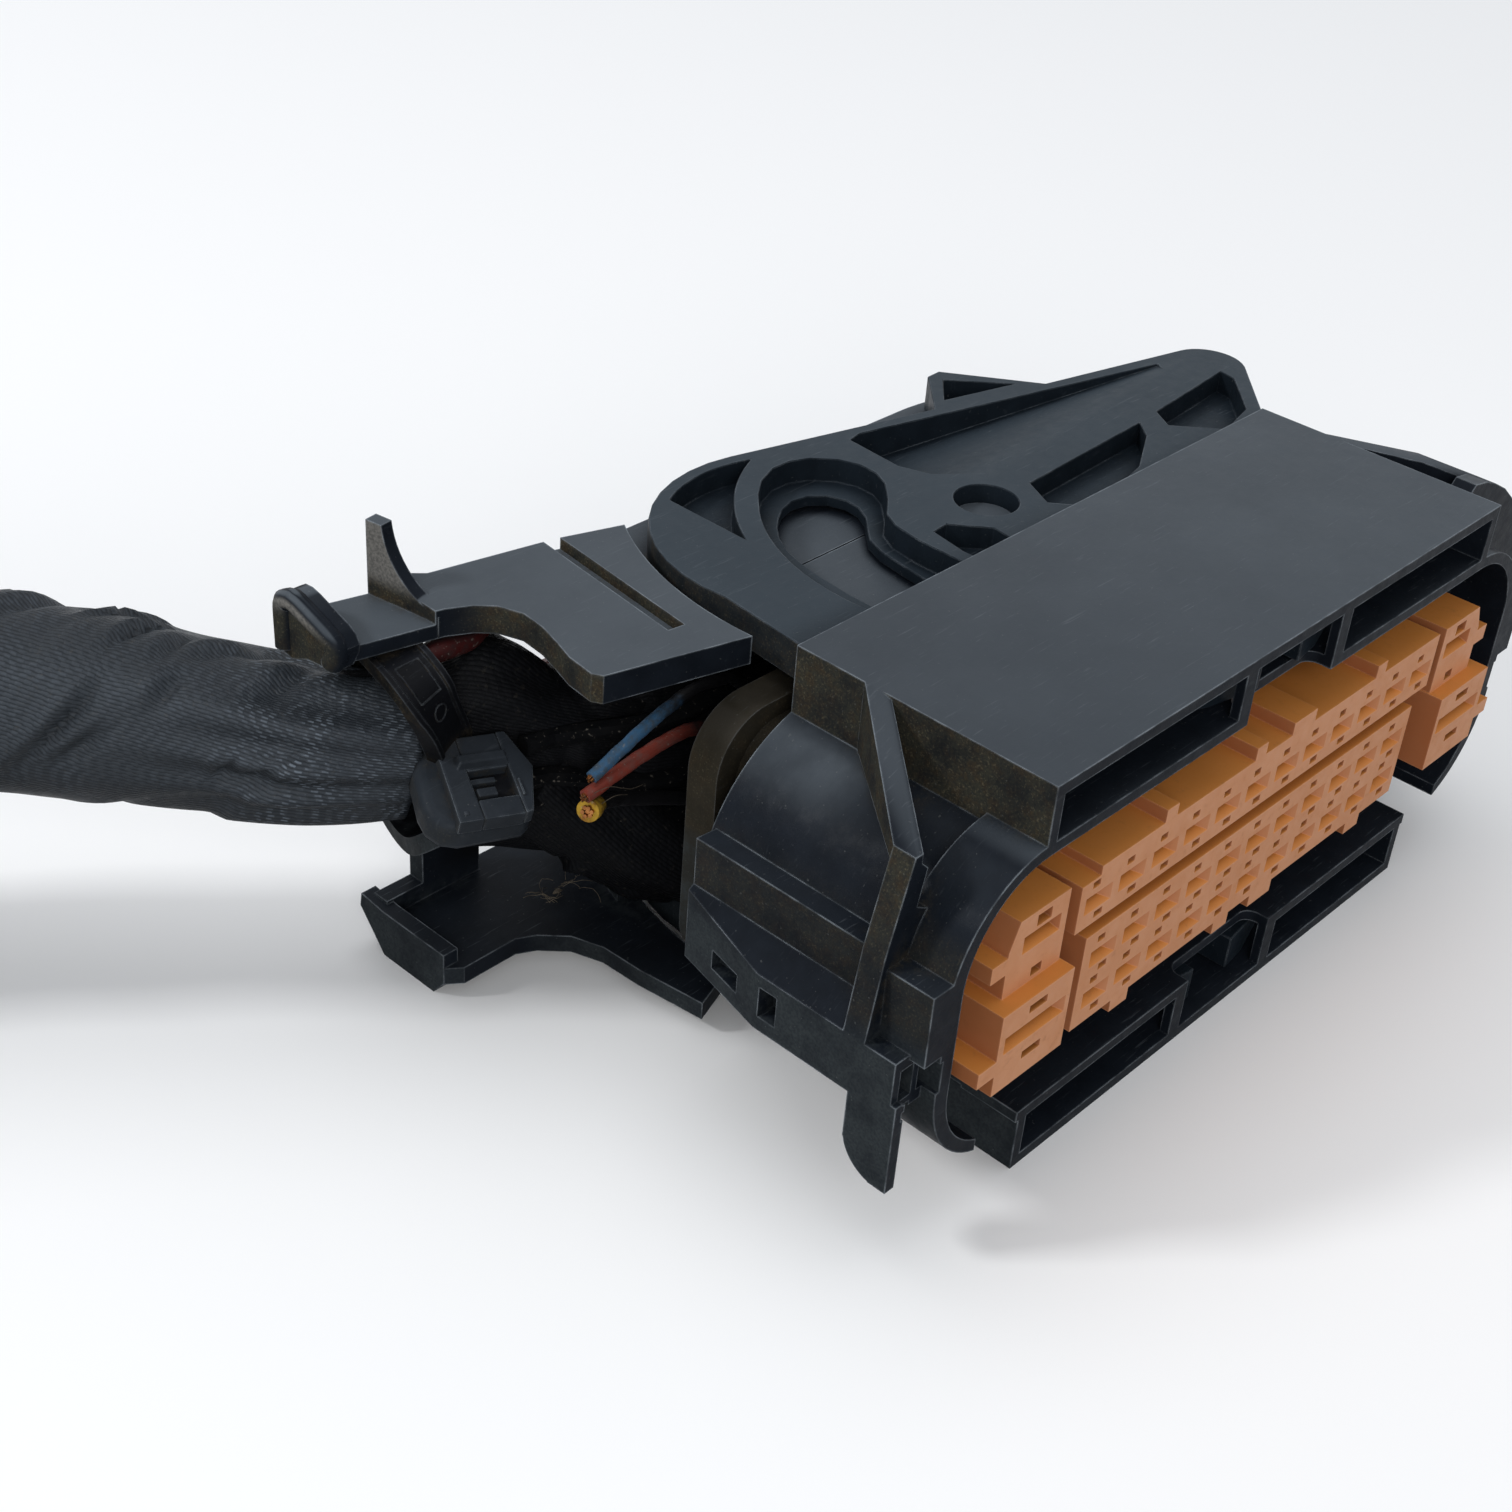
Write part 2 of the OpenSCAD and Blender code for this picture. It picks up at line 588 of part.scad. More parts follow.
// Shallow pockets of one cam plate
rim = 0.7;
module cam_pockets() {
    intersection() {
        translate(lobe_c) circle(lobe_r - rim);
        polygon(concat(spiral(12.1, 13.2, 119, 158), [[-12.2, 12], [-5, 12]]));
    }
    polygon([[7.3, back_edge(7.3) + rim], [9.3, back_edge(9.3) + 2.9], [12, back_edge(12) + rim]]);
    polygon([
        [-4.6, -0.4], [-3.5, -0.3], [-2.9, -1.1], [-2, -2], [-2.2, -3.4], [-2.4, -5], [-4.9, -5],
        [-5, -2.6]]);
    polygon([[3.2, -0.3], [13.5, 0.2], [12.4, -1], [9.2, -2.8], [6.4, -3.4], [3.2, -3.4], [2.2, -2.2]]);
    polygon([[15.4, 0.4], [22.7, 1.1], [22.5, 0.1], [19.6, -2.6], [17.4, -3.1], [16.4, -3.1], [14.5, -1]]);
}

// Long pocket whose floor falls from the arm to the back edge
arm_floor_drop = 14;
module long_pocket() {
    intersection() {
        along_z(lever_z, lever_top + 1) polygon([
            [-0.6, 5.2], [-0.3, back_edge(-0.3) - rim - 0.4], [0.6, back_edge(0.6) - rim],
            [20.6, back_edge(20.6) - rim], [20.2, 3.1], [2.6, 1.6], [0, 3.6]]);
        translate([0, 1.6, lever_top]) rotate([0, 0, 5]) rotate([-arm_floor_drop, 0, 0])
            translate([-5, 0, 0]) cube([30, 12, 4]);
    }
}

module cam_plate() difference() {
    along_z(lever_z, lever_top) polygon(lever_outline);
    translate([0, 0, lever_z - 1]) cylinder(d = pivot_bore, h = lever_t + 2);
    along_z(lever_z - 1, lever_top + 1) groove_plan();
    along_z(lever_top - ledge_depth, lever_top + 1) ledge_plan();
    along_z(lever_top - pocket_depth, lever_top + 1) difference() {
        cam_pockets();
        circle(2.9);
    }
    long_pocket();
}

bail_r = norm([retainer_w, pivot[1] - retainer_y]) + fit;
module lever() color(plastic) translate(pivot) {
    mirrored_z() cam_plate();
    along_z(-lever_z - eps, lever_z + eps) difference() {
        polygon(lever_outline);
        circle(bail_r);
    }
}

// Wire cover: a hood behind the decks, and two wings that carry the loom out to the left
cover_y = deck_d + fit;
cover_z = deck_z - 0.1;
cover_left = 0.4 - lever_r;
bend_c = [power_x[1], power_lane_y] - [power_bend_r, power_bend_r];
bend_out = power_bend_r + power_wire_d / 2 + fit + cover_wall;
cover_right = bend_c[0] + bend_out;
module cover_plan(t) intersection() {
    translate([cover_left - (t > 0 ? 1 : 0), cover_y - (t > 0 ? 1 : 0)])
        square([cover_right - t - cover_left + (t > 0 ? 1 : 0), cover_back - t - cover_y + (t > 0 ? 1 : 0)]);
    union() {
        translate(bend_c) circle(bend_out - t);
        translate([cover_left - 2, cover_y - 2])
            square([bend_c[0] + 2 - cover_left, cover_back + 2 - cover_y]);
    }
}

// Tongues that slip under the decks of the shell
tongue_half = 9;
tongue_front = max(cover_y - 4, retainer_back_y + fit);
module tongues() mirrored_z()
    block(-tongue_half, tongue_half, tongue_front, cover_y + 1, cavity_h - fit - 1, cavity_h - fit / 2);

// Right edge of both wings, an arc that clears the sweep of the cam plates
wing_clear = 0.8;
wing_r = lever_r + wing_clear;
wing_edge = [for (p = arc([0, 0], wing_r, 148, 184)) p + pivot];

// Directions along and across the turned upper wing
along_wing = [-cos(wing_turn), sin(wing_turn)];
across_wing = [sin(wing_turn), cos(wing_turn)];
wing_front = wing_edge[len(wing_edge) - 1];
function on_wing(u, v) = wing_front + u * along_wing + v * across_wing;
wing_wide = 11.6;
tab_u = [11.1, 15.6];
tab_v = [8, 11.9];
tab_drop = 0.7;
notch = [
    [7.5, 0.1], [7.9, 0.5], [8.1, 2.1], [8, 3.4], [7.95, 4.8], [8.15, 6.2], [8.9, 7.3], [9.8, 7.8],
    [tab_u[0], tab_v[0] + 0.1]];
wing_plan = concat(wing_edge, [for (p = notch) on_wing(p[0], p[1])], [
    on_wing(tab_u[1], tab_v[0]), on_wing(tab_u[1] - 0.2, tab_v[1]), on_wing(tab_u[0] + 0.5, tab_v[1]),
    on_wing(10.4, wing_wide - 0.3), on_wing(3.6, wing_wide)]);
wing_under = wing_z - wing_t;
tab_z = wing_z - tab_drop;

// Plate of the upper wing, with a lower tab at its end and a groove beside the lever
module upper_wing() {
    difference() {
        along_z(wing_under, wing_z) polygon(wing_plan);
        along_z(tab_z, wing_z + 1) polygon([
            on_wing(tab_u[0], tab_v[0] - 2), on_wing(tab_u[1] + 1, tab_v[0] - 2),
            on_wing(tab_u[1] + 1, tab_v[1] + 1), on_wing(tab_u[0] + 1.5, tab_v[1] + 1)]);
        along_z(wing_z - 0.6, wing_z + 1) polygon([
            on_wing(2.2, 2.2), on_wing(3.1, 2.1), on_wing(4.4, wing_wide + 1), on_wing(3.5, wing_wide + 1)]);
    }
    fin();
    end_flange();
}

fin_t = 0.7;
fin_len = 4.2;
fin_turn = 9;
// Upright fin between the plate and the tab, with a hollow front edge
module fin() translate(concat(on_wing(tab_u[0], tab_v[0] + 0.2), 0)) rotate([0, 0, fin_turn])
    along_x(-fin_t / 2, fin_t / 2) difference() {
        translate([0, wing_under]) square([fin_len, tab_z + fin_h - wing_under]);
        translate([-0.6, tab_z + fin_h + 0.4]) circle(fin_h + 0.1);
    }

// Upright flange that stops the tie at the end of the tab
flange_at = on_wing(tab_u[1] + 0.4, tab_v[0]);
module end_flange() translate([flange_at[0] - 0.6, flange_at[1], 0]) along_x(0, 1.1) polygon([
    [0, wing_under - 0.2], [-0.45, tab_z - 0.1], [-0.5, tab_z + 0.3], [-0.3, tab_z + 0.7],
    [0.1, tab_z + 0.95], [2.2, tab_z + 1.65], [2.7, tab_z + 1.75], [3.2, tab_z + 1.7],
    [3.65, tab_z + 1.4], [3.9, tab_z + 0.9], [3.9, wing_under - 0.7],
    [3, wing_under - 0.9], [1.8, wing_under - 0.4]]);

// Lower wing: an open tray with a lip along its front and end
tray_front = [-21, 16.1];
tray_end = -28.5;
tray_plan = concat(wing_edge, [
    tray_front, [-21.5, 20], [-21.6, 22.4], [-22.2, 24.1], [-23.4, 25.3], [-24.4, 25.8],
    [tray_end + 0.8, 25.8], [tray_end, 26.4], [tray_end, 31.4], [tray_end + 1, 32.4], [-18, 32.2]]);
tray_t = 1;
foot_z = roof_z;
lip_h = 0.8;
module lower_wing() {
    along_z(-wing_z, tray_t - wing_z) polygon(tray_plan);
    along_x(tray_end, tray_end + 0.9) polygon([
        [26.4, -wing_z], [27.2, -foot_z], [31, -foot_z], [31.8, -wing_z], [32.8, -wing_z + 1.2],
        [32.7, -wing_z + 2], [31.8, -wing_z + 1.9], [31, -wing_z + tray_t + lip_h],
        [26.4, -wing_z + tray_t + lip_h]]);
    block(tray_end + 0.5, -22, 31.3, 32.3, -wing_z, -wing_z + tray_t + 1);
    block(-25.7, -22, 31.3, 32.3, -wing_z, -4.4);
}

// Walls that join the wings to the hood beside the sweep of the lever
root_in = 0.15;
module wing_roots() mirrored_z() intersection() {
    along_z(cover_z - cover_wall, wing_z - root_in) difference() {
        translate(pivot) circle(wing_r + cover_wall);
        translate(pivot) circle(wing_r + root_in);
    }
    block(-25, cover_left + 4, pivot[1] + 6.3, pivot[1] + 10, 0, wing_z);
}

module wire_cover() color(plastic) {
    difference() {
        along_z(-cover_z, cover_z) cover_plan(0);
        along_z(-cover_z + cover_wall, cover_z - cover_wall) cover_plan(cover_wall);
    }
    tongues();
    wing_roots();
    upper_wing();
    lower_wing();
}

// Wires: straight out of the retainer, a bend into their lane, then together into the trunk
function turn(x, z, y, r, n = 4) =
    [for (i = [0:n]) let(a = 90 * i / n) [x - r + r * cos(a), y - r + r * sin(a), z]];
// The wires stop just short of the loom's first face, which leans with its route
loom_way = loom_route[1] - loom_route[0];
function face_x(s) = trunk_x + seat_gap - (s[0] * loom_way[1] + s[1] * loom_way[2]) / loom_way[0];
function gather(y, z, s, n = 5) = [for (i = [1:n]) let(t = i / n, k = smooth(t))
    [mix(lane_end_x, face_x(s), t), mix(y, trunk_c[0] + s[0], k), mix(z, trunk_c[1] + s[1], k)]];
function lane_path(x, y, z, r, s) =
    concat([[x, crimp_y, z]], turn(x, z, y, r), [[lane_end_x, y, z]], gather(y, z, s));
function signal_path(w) = lane_path(column_x(w[0], w[1]), lane_y[w[2]], rows[w[0]][0], bend_r,
    [lane_seat[w[2]], row_seat[w[0]]]);
power_seats = [[2, 1], [2, -1]];
function power_path(c) = lane_path(power_x[c], power_lane_y, power_rows[c], power_bend_r, power_seats[c]);
module wire_group(list) for (k = list) tube(signal_path(signal_wires[k]), wire_d, 8);

module green_wires() color([0.15, 0.3, 0.2]) wire_group([3, 8]);
module brown_wires() color([0.3, 0.18, 0.1]) wire_group([4, 7, 13]);
module black_wires() color([0.08, 0.08, 0.08]) wire_group([1, 2, 6, 9, 10, 11, 12]);
module power_wires() color([0.4, 0.08, 0.06]) for (c = [0, 1]) tube(power_path(c), power_wire_d, 8);

// Three wires of the front lane are cut off short of the trunk
module cut_wire(w, ends) {
    x = column_x(w[0], w[1]);
    z = rows[w[0]][0];
    tube(concat([[x, crimp_y, z]], turn(x, z, lane_y[w[2]], bend_r), ends), wire_d, 8);
}

blue_end = [[-16, 21, 4.2], [-18.5, 21, 4.9], [-21.1, 21, 4.6], [-22.8, 21, 4.1], [-24.2, 21, 3.5]];
red_end = [
    [-14.8, 20.9, 0.6], [-16.6, 21, 2.2], [-18.5, 21, 3.1], [-21, 21, 3.1], [-22.8, 21, 2.7],
    [-24.5, 21, 2.1]];
yellow_end = [
    [-14.8, 20.9, -2.6], [-17, 21.2, -1.6], [-19.5, 21.6, -0.6], [-22, 21.6, 0.3], [-23.6, 21.2, 0.7],
    [-24.4, 20.9, 0.9]];
module blue_wire() color([0.1, 0.35, 0.65]) cut_wire(signal_wires[0], blue_end);
module red_wire() color([0.65, 0.18, 0.12]) cut_wire(signal_wires[5], red_end);
module yellow_wire() color([0.8, 0.6, 0.08]) cut_wire(signal_wires[14], yellow_end);

// Cable tie round the loom, drawn up under the tab of the upper wing
tie_c = [-28.6, 29.15, 2.5];
tie_turn = -26;
tie_slack = 0.35;
tie_in = loom_neck_d / 2 + tie_slack;
tie_top = wing_under - 0.15 - tie_t - tie_c[2];
tie_half = 2;
head = [3.8, 3, 3.8];
head_c = [-29.1, 23.9, 3.75];
head_turn = -15;
head_lean = -24;
module tie_loop(grow) hull() {
    circle(tie_in + grow);
    translate([-tie_half - grow, tie_top - 1]) square([2 * (tie_half + grow), 1 + grow]);
}

module cable_tie() color([0.1, 0.1, 0.11]) {
    translate(tie_c) rotate([0, 0, tie_turn]) along_x(-tie_w / 2, tie_w / 2) difference() {
        tie_loop(tie_t);
        tie_loop(0);
    }
    translate(head_c) rotate([0, 0, head_turn]) rotate([head_lean, 0, 0]) difference() {
        translate(-head / 2) cube(head);
        translate([-1.1, -head[1] / 2 - 1, -1.1]) cube([2.2, 1.9, 1.9]);
    }
}

loom_rings = [for (i = [0:len(loom_route) - 1])
    mix(loom_neck_d, loom_d, min(1, max(0, (i - neck_rings[0]) / (neck_rings[1] - neck_rings[0]))))];
module taped_loom() color([0.09, 0.09, 0.1]) tube(loom_route, loom_rings, 12);

shell();
contact_carrier();
perimeter_seal();
wire_seal();
seal_retainer();
lever();
wire_cover();
upper_row_contacts();
middle_row_contacts();
lower_row_contacts();
power_contacts();
cavity_plugs();
blue_wire();
red_wire();
yellow_wire();
green_wires();
brown_wires();
black_wires();
power_wires();
cable_tie();
taped_loom();
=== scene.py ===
import math
import random

import bmesh
import bpy
from mathutils import Matrix, Vector
from mathutils import noise as field


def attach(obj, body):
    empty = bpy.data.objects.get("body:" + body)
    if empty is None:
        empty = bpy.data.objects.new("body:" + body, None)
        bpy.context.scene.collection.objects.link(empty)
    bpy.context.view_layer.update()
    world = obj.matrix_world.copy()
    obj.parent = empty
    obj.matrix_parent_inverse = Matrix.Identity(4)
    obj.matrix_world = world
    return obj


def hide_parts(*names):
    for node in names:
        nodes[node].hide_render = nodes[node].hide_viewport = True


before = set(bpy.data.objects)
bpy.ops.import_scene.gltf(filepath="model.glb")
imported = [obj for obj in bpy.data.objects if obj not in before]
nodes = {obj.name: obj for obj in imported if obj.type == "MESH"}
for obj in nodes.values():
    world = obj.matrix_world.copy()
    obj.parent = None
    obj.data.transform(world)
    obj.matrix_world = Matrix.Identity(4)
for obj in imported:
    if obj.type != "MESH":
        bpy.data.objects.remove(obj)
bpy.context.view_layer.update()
scene = bpy.context.scene

# Lengths below are in millimetres, and pieces are scaled to metres as they are made
MM = 0.001
TURN = 2 * math.pi
ANY_ANGLE = (0, 6.28)
FLOOR_Z = -11.1

# Camera: a pinhole fitted to the grid of contacts and the edges of the roof
EYE = (-82.5063, -38.9253, 61.7733)
RIGHT = (0.684262, -0.726214, 0.066323)
UP = (0.373356, 0.427002, 0.823574)
BACK = (-0.626412, -0.538778, 0.563318)
SENSOR, FOCAL = 36, 53.3501
lens = bpy.data.cameras.new("camera")
lens.sensor_width = SENSOR
lens.lens = FOCAL
lens.clip_start = MM
camera = bpy.data.objects.new("camera", lens)
scene.collection.objects.link(camera)
turned = Matrix((RIGHT, UP, BACK)).transposed().to_4x4()
camera.matrix_world = Matrix.Translation(Vector(EYE) * MM) @ turned
scene.camera = camera


# Curves in space
def spline(points, step):
    """A smooth line through the points, sampled about every step."""
    p = [Vector(q) for q in points]
    p = [2 * p[0] - p[1]] + p + [2 * p[-1] - p[-2]]
    out = []
    for i in range(1, len(p) - 2):
        a, b, c, d = p[i - 1:i + 3]
        n = max(2, math.ceil((c - b).length / step))
        for k in range(n):
            t = k / n
            out.append(0.5 * (2 * b + (c - a) * t + (2 * a - 5 * b + 4 * c - d) * t * t
                              + (3 * b - a - 3 * c + d) * t ** 3))
    out.append(p[-2])
    return out


def tangent(line, i):
    """The direction of a line at its point i."""
    return (line[min(i + 1, len(line) - 1)] - line[max(i - 1, 0)]).normalized()


def frames(line):
    """A tangent and two steady side directions at each point of a line."""
    tangents = [tangent(line, i) for i in range(len(line))]
    side = tangents[0].cross(Vector((0, 0, 1))).normalized()
    out = []
    for t in tangents:
        side = (side - t * side.dot(t)).normalized()
        out.append((t, side, side.cross(t)))
    return out


def lengths(line):
    """The distance along a line to each of its points."""
    out = [0.0]
    for a, b in zip(line, line[1:]):
        out.append(out[-1] + (b - a).length)
    return out


def ease(t):
    """A smooth rise from 0 to 1."""
    t = min(1, max(0, t))
    return t * t * (3 - 2 * t)


def rise(s, start, end):
    """A smooth rise from 0 at start to 1 at end."""
    return ease((s - start) / (end - start))


# Pieces
def piece(name, bm, slot, body="housing", smooth=True, sharp_over=None):
    """Makes an object of a bmesh that rides on a body. Edges over so many degrees stay sharp."""
    bmesh.ops.recalc_face_normals(bm, faces=bm.faces)
    mesh = bpy.data.meshes.new(name)
    bm.to_mesh(mesh)
    bm.free()
    mesh.transform(Matrix.Scale(MM, 4))
    mesh.polygons.foreach_set("use_smooth", [smooth] * len(mesh.polygons))
    if sharp_over:
        mesh.set_sharp_from_angle(angle=math.radians(sharp_over))
    obj = bpy.data.objects.new(name, mesh)
    scene.collection.objects.link(obj)
    obj.data.materials.append(MATERIALS[slot])
    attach(obj, body)
    return obj


def skin(bm, rings):
    """Closes a row of rings into a tube with capped ends, and gives its faces, stretch by stretch."""
    stretches = []
    for r0, r1 in zip(rings, rings[1:]):
        n = len(r0)
        stretches.append([bm.faces.new((r0[k], r1[k], r1[(k + 1) % n], r0[(k + 1) % n])) for k in range(n)])
    bm.faces.new(rings[0])
    bm.faces.new(list(reversed(rings[-1])))
    return stretches


def loft(bm, line, radius, sides, girth=None):
    """A tube along a line. radius(s, angle) is its radius at s along it, girth the height of its UVs."""
    layer = bm.loops.layers.uv.verify() if girth else None
    run = lengths(line)
    rings = []
    for p, s, (t, a, b) in zip(line, run, frames(line)):
        angles = [TURN * k / sides for k in range(sides)]
        rings.append([bm.verts.new(p + (a * math.cos(g) + b * math.sin(g)) * radius(s, g)) for g in angles])
    stretches = skin(bm, rings)
    for i, faces in enumerate(stretches if girth else []):
        for k, face in enumerate(faces):
            corners = ((run[i], k), (run[i + 1], k), (run[i + 1], k + 1), (run[i], k + 1))
            for loop, (s, m) in zip(face.loops, corners):
                loop[layer].uv = (s, m * girth / sides)


def waves(kinds, s, ang):
    """Waves on a tube. Each kind has a height, a number round it, a rate along it and a phase."""
    return sum(height * math.sin(number * ang + rate * s + phase) for height, number, rate, phase in kinds)


def lumps(height, rate, number, s, ang):
    """Random lumps on a tube, with a rate along it and about a number round it."""
    return height * field.noise(Vector((rate * s, number * math.cos(ang), number * math.sin(ang))))


def even(r):
    """The radius of a tube that is equally thick all along."""
    return lambda s, ang: r


# Materials
class Paint:
    """A material built of nodes, with its patterns laid out in millimetres."""

    def __init__(self, name, **shader):
        self.mat = bpy.data.materials.new(name)
        self.mat.use_nodes = True
        self.tree = self.mat.node_tree
        self.bsdf = self.tree.nodes["Principled BSDF"]
        for key, value in shader.items():
            self.bsdf.inputs[key.replace("_", " ")].default_value = value
        coords = self.node("ShaderNodeTexCoord")
        self.mm = self.node("ShaderNodeVectorMath", {0: coords.outputs["Object"], 3: 1 / MM},
                            operation="SCALE").outputs[0]
        self.normal = self.node("ShaderNodeNewGeometry").outputs["Normal"]
        self.x, self.y, self.z = self.parts(self.mm)
        self.nx, _, self.nz = self.parts(self.normal)

    def node(self, kind, inputs=None, **props):
        n = self.tree.nodes.new(kind)
        for key, value in props.items():
            setattr(n, key, value)
        for key, value in (inputs or {}).items():
            if isinstance(value, bpy.types.NodeSocket):
                self.tree.links.new(value, n.inputs[key])
            else:
                n.inputs[key].default_value = value
        return n

    def parts(self, vector):
        """The x, y and z of a vector."""
        return self.node("ShaderNodeSeparateXYZ", {0: vector}).outputs

    def math(self, operation, a, b=0.0, c=0.0):
        return self.node("ShaderNodeMath", {0: a, 1: b, 2: c}, operation=operation).outputs[0]

    def mul(self, *factors):
        product = factors[0]
        for f in factors[1:]:
            product = self.math("MULTIPLY", product, f)
        return product

    def add(self, a, b):
        return self.math("ADD", a, b)

    def most(self, a, b):
        return self.math("MAXIMUM", a, b)

    def ramp(self, value, low, high, out_low=0.0, out_high=1.0):
        """A smooth step from out_low at low to out_high at high."""
        return self.node("ShaderNodeMapRange", {0: value, 1: low, 2: high, 3: out_low, 4: out_high},
                         interpolation_type="SMOOTHSTEP").outputs[0]

    def noise(self, scale, detail=2.0, rough=0.5, at=None):
        inputs = {"Vector": at or self.mm, "Scale": scale, "Detail": detail, "Roughness": rough}
        return self.node("ShaderNodeTexNoise", inputs).outputs["Fac"]

    def stretched(self, turn, scale):
        inputs = {"Vector": self.mm, "Rotation": turn, "Scale": scale}
        return self.node("ShaderNodeMapping", inputs).outputs[0]

    def mix(self, fac, a, b):
        return self.node("ShaderNodeMix", {0: fac, 6: a, 7: b}, data_type="RGBA").outputs[2]

    def hollow(self, distance):
        """1 deep in a recess, 0 in the open."""
        ao = self.node("ShaderNodeAmbientOcclusion", {"Distance": distance * MM}, samples=8)
        return self.math("SUBTRACT", 1.0, ao.outputs["AO"])

    def edge(self, radius):
        """1 on an edge, 0 on a flat."""
        soft = self.node("ShaderNodeBevel", {"Radius": radius * MM}, samples=6)
        dot = self.node("ShaderNodeVectorMath", {0: soft.outputs[0], 1: self.normal},
                        operation="DOT_PRODUCT")
        return self.ramp(dot.outputs["Value"], 0.995, 0.8)

    def bump(self, height, strength, distance, normal=None):
        inputs = {"Height": height, "Strength": strength, "Distance": distance * MM}
        if normal:
            inputs["Normal"] = normal
        return self.node("ShaderNodeBump", inputs).outputs[0]

    def finish(self, colour, rough, normal):
        for key, value in (("Base Color", colour), ("Roughness", rough), ("Normal", normal)):
            self.tree.links.new(value, self.bsdf.inputs[key])
        return self.mat


def rgb(r, g, b):
    """A colour from its 0 to 255 values."""
    def linear(c):
        c /= 255
        return c / 12.92 if c <= 0.04045 else ((c + 0.055) / 1.055) ** 2.4
    return (linear(r), linear(g), linear(b), 1.0)


def tinted(colour, times):
    """A colour so many times as bright, up to white."""
    return tuple(min(1.0, times * c) for c in colour[:3]) + (1.0,)


# Black nylon. Each pair is where a mark begins on the part and where it is full: marks of age, painted sheen
# and painted shade.
LEFT_X = (-8.0, -18.0)
SHEEN_X, SHEEN_Y, LOW_SHADE_Z = (-20.0, 16.0), (13.0, 17.0), (3.5, 8.0)
SHOULDER_Y, SHOULDER_Z = (6.6, 11.0), (5.0, 7.6)
WALL_Z, SPLASH_Z = (3.0, 7.5), (0.8, 0.0)
RUST_Z = (0.4, 1.6)
CREST_Y, CREST_Z = (15.0, 18.0), (9.9, 10.8)
# Where painted shade with some soot darkens the cover round the wires
SHADE_X, SHADE_Y, SHADE_Z, SHADE_FLOOR_Z = (-26.0, -22.0), (18.0, 20.0), (6.0, 2.0), (-8.8, -7.5)
SHADE_AND_SOOT, SPLASH, RUST, SAND = rgb(15, 15, 16), rgb(56, 61, 63), rgb(62, 54, 42), rgb(104, 97, 78)
# The last of these is the pale of scuffed edges and of their painted highlight
SCUFF, CHALK, SPECK, WORN_AND_LIT = rgb(110, 116, 122), rgb(116, 114, 110), rgb(140, 142, 140), rgb(150, 158, 165)


def top_dust_and_sheen(p, sunk, crown):
    """How much pale dust with a painted sheen lies on a level face: it grows to the right and back as a
    painted sheen, and fades in recesses, under overhangs and low down as painted shade.
    """
    # Painted shade: no pale coat in recesses and under overhangs, except on the highest faces
    unshaded = p.mul(p.ramp(p.hollow(14.0), 0.75, 0.3), p.ramp(p.hollow(5.0), sunk, sunk - 0.4))
    unshaded = p.most(unshaded, p.ramp(p.z, crown, crown + 0.4))
    # Painted sheen: paler towards the right and the back
    sheen_side = p.most(p.ramp(p.x, *SHEEN_X, 0.72, 1.0), p.ramp(p.y, *SHEEN_Y))
    patches = p.ramp(p.noise(0.16, 4.0, 0.6), 0.25, 0.75, 0.84, 1.0)
    return p.mul(unshaded, p.ramp(p.z, *LOW_SHADE_Z, 0.14, 1.0), sheen_side, patches)


def shoulder_highlight(p):
    """How much painted highlight, streaked like a scuffed face, lies on the upper shoulder of the rounded
    left end.
    """
    bulge = p.mul(p.ramp(p.nx, -0.2, -0.45), p.ramp(p.nz, 0.5, 0.76), p.ramp(p.nz, 0.97, 0.9))
    place = p.mul(p.ramp(p.y, *SHOULDER_Y, 0.08, 1.0), p.ramp(p.z, *SHOULDER_Z))
    streaks = p.noise(1.0, 5.0, 0.55, p.stretched((0.0, 0.0, 0.2), (0.4, 0.5, 0.3)))
    return p.mul(bulge, place, p.ramp(streaks, 0.3, 0.66, 0.65, 1.0))


def wall_dirt(p):
    """How much dirt holds on an upright face that looks left."""
    height = p.most(p.ramp(p.z, *WALL_Z, 0.45, 1.0), p.ramp(p.z, *SPLASH_Z, 0.0, 0.85))
    return p.mul(p.ramp(p.nx, -0.3, -0.9), p.ramp(p.math("ABSOLUTE", p.nz), 0.6, 0.2), height)


def dirt_colour(p, mottle, crest, dirt):
    """Grey splashes low down, rusty dirt with sand in it above, and chalky dust along the crests."""
    rusty = p.mix(p.ramp(mottle, 0.42, 0.66), dirt, RUST)
    sandy = p.mix(p.mul(p.ramp(p.noise(9.0, 2.0, 0.6), 0.56, 0.68), 0.5), rusty, SAND)
    return p.mix(p.ramp(p.z, *RUST_Z), SPLASH, p.mix(crest, sandy, CHALK))


def tray_shade_and_soot(p):
    """How much painted shade, with some soot, lies on the cover round the wires."""
    return p.mul(p.ramp(p.x, *SHADE_X), p.ramp(p.y, *SHADE_Y), p.ramp(p.z, *SHADE_Z),
                 p.ramp(p.z, *SHADE_FLOOR_Z, 0.3, 1.0))


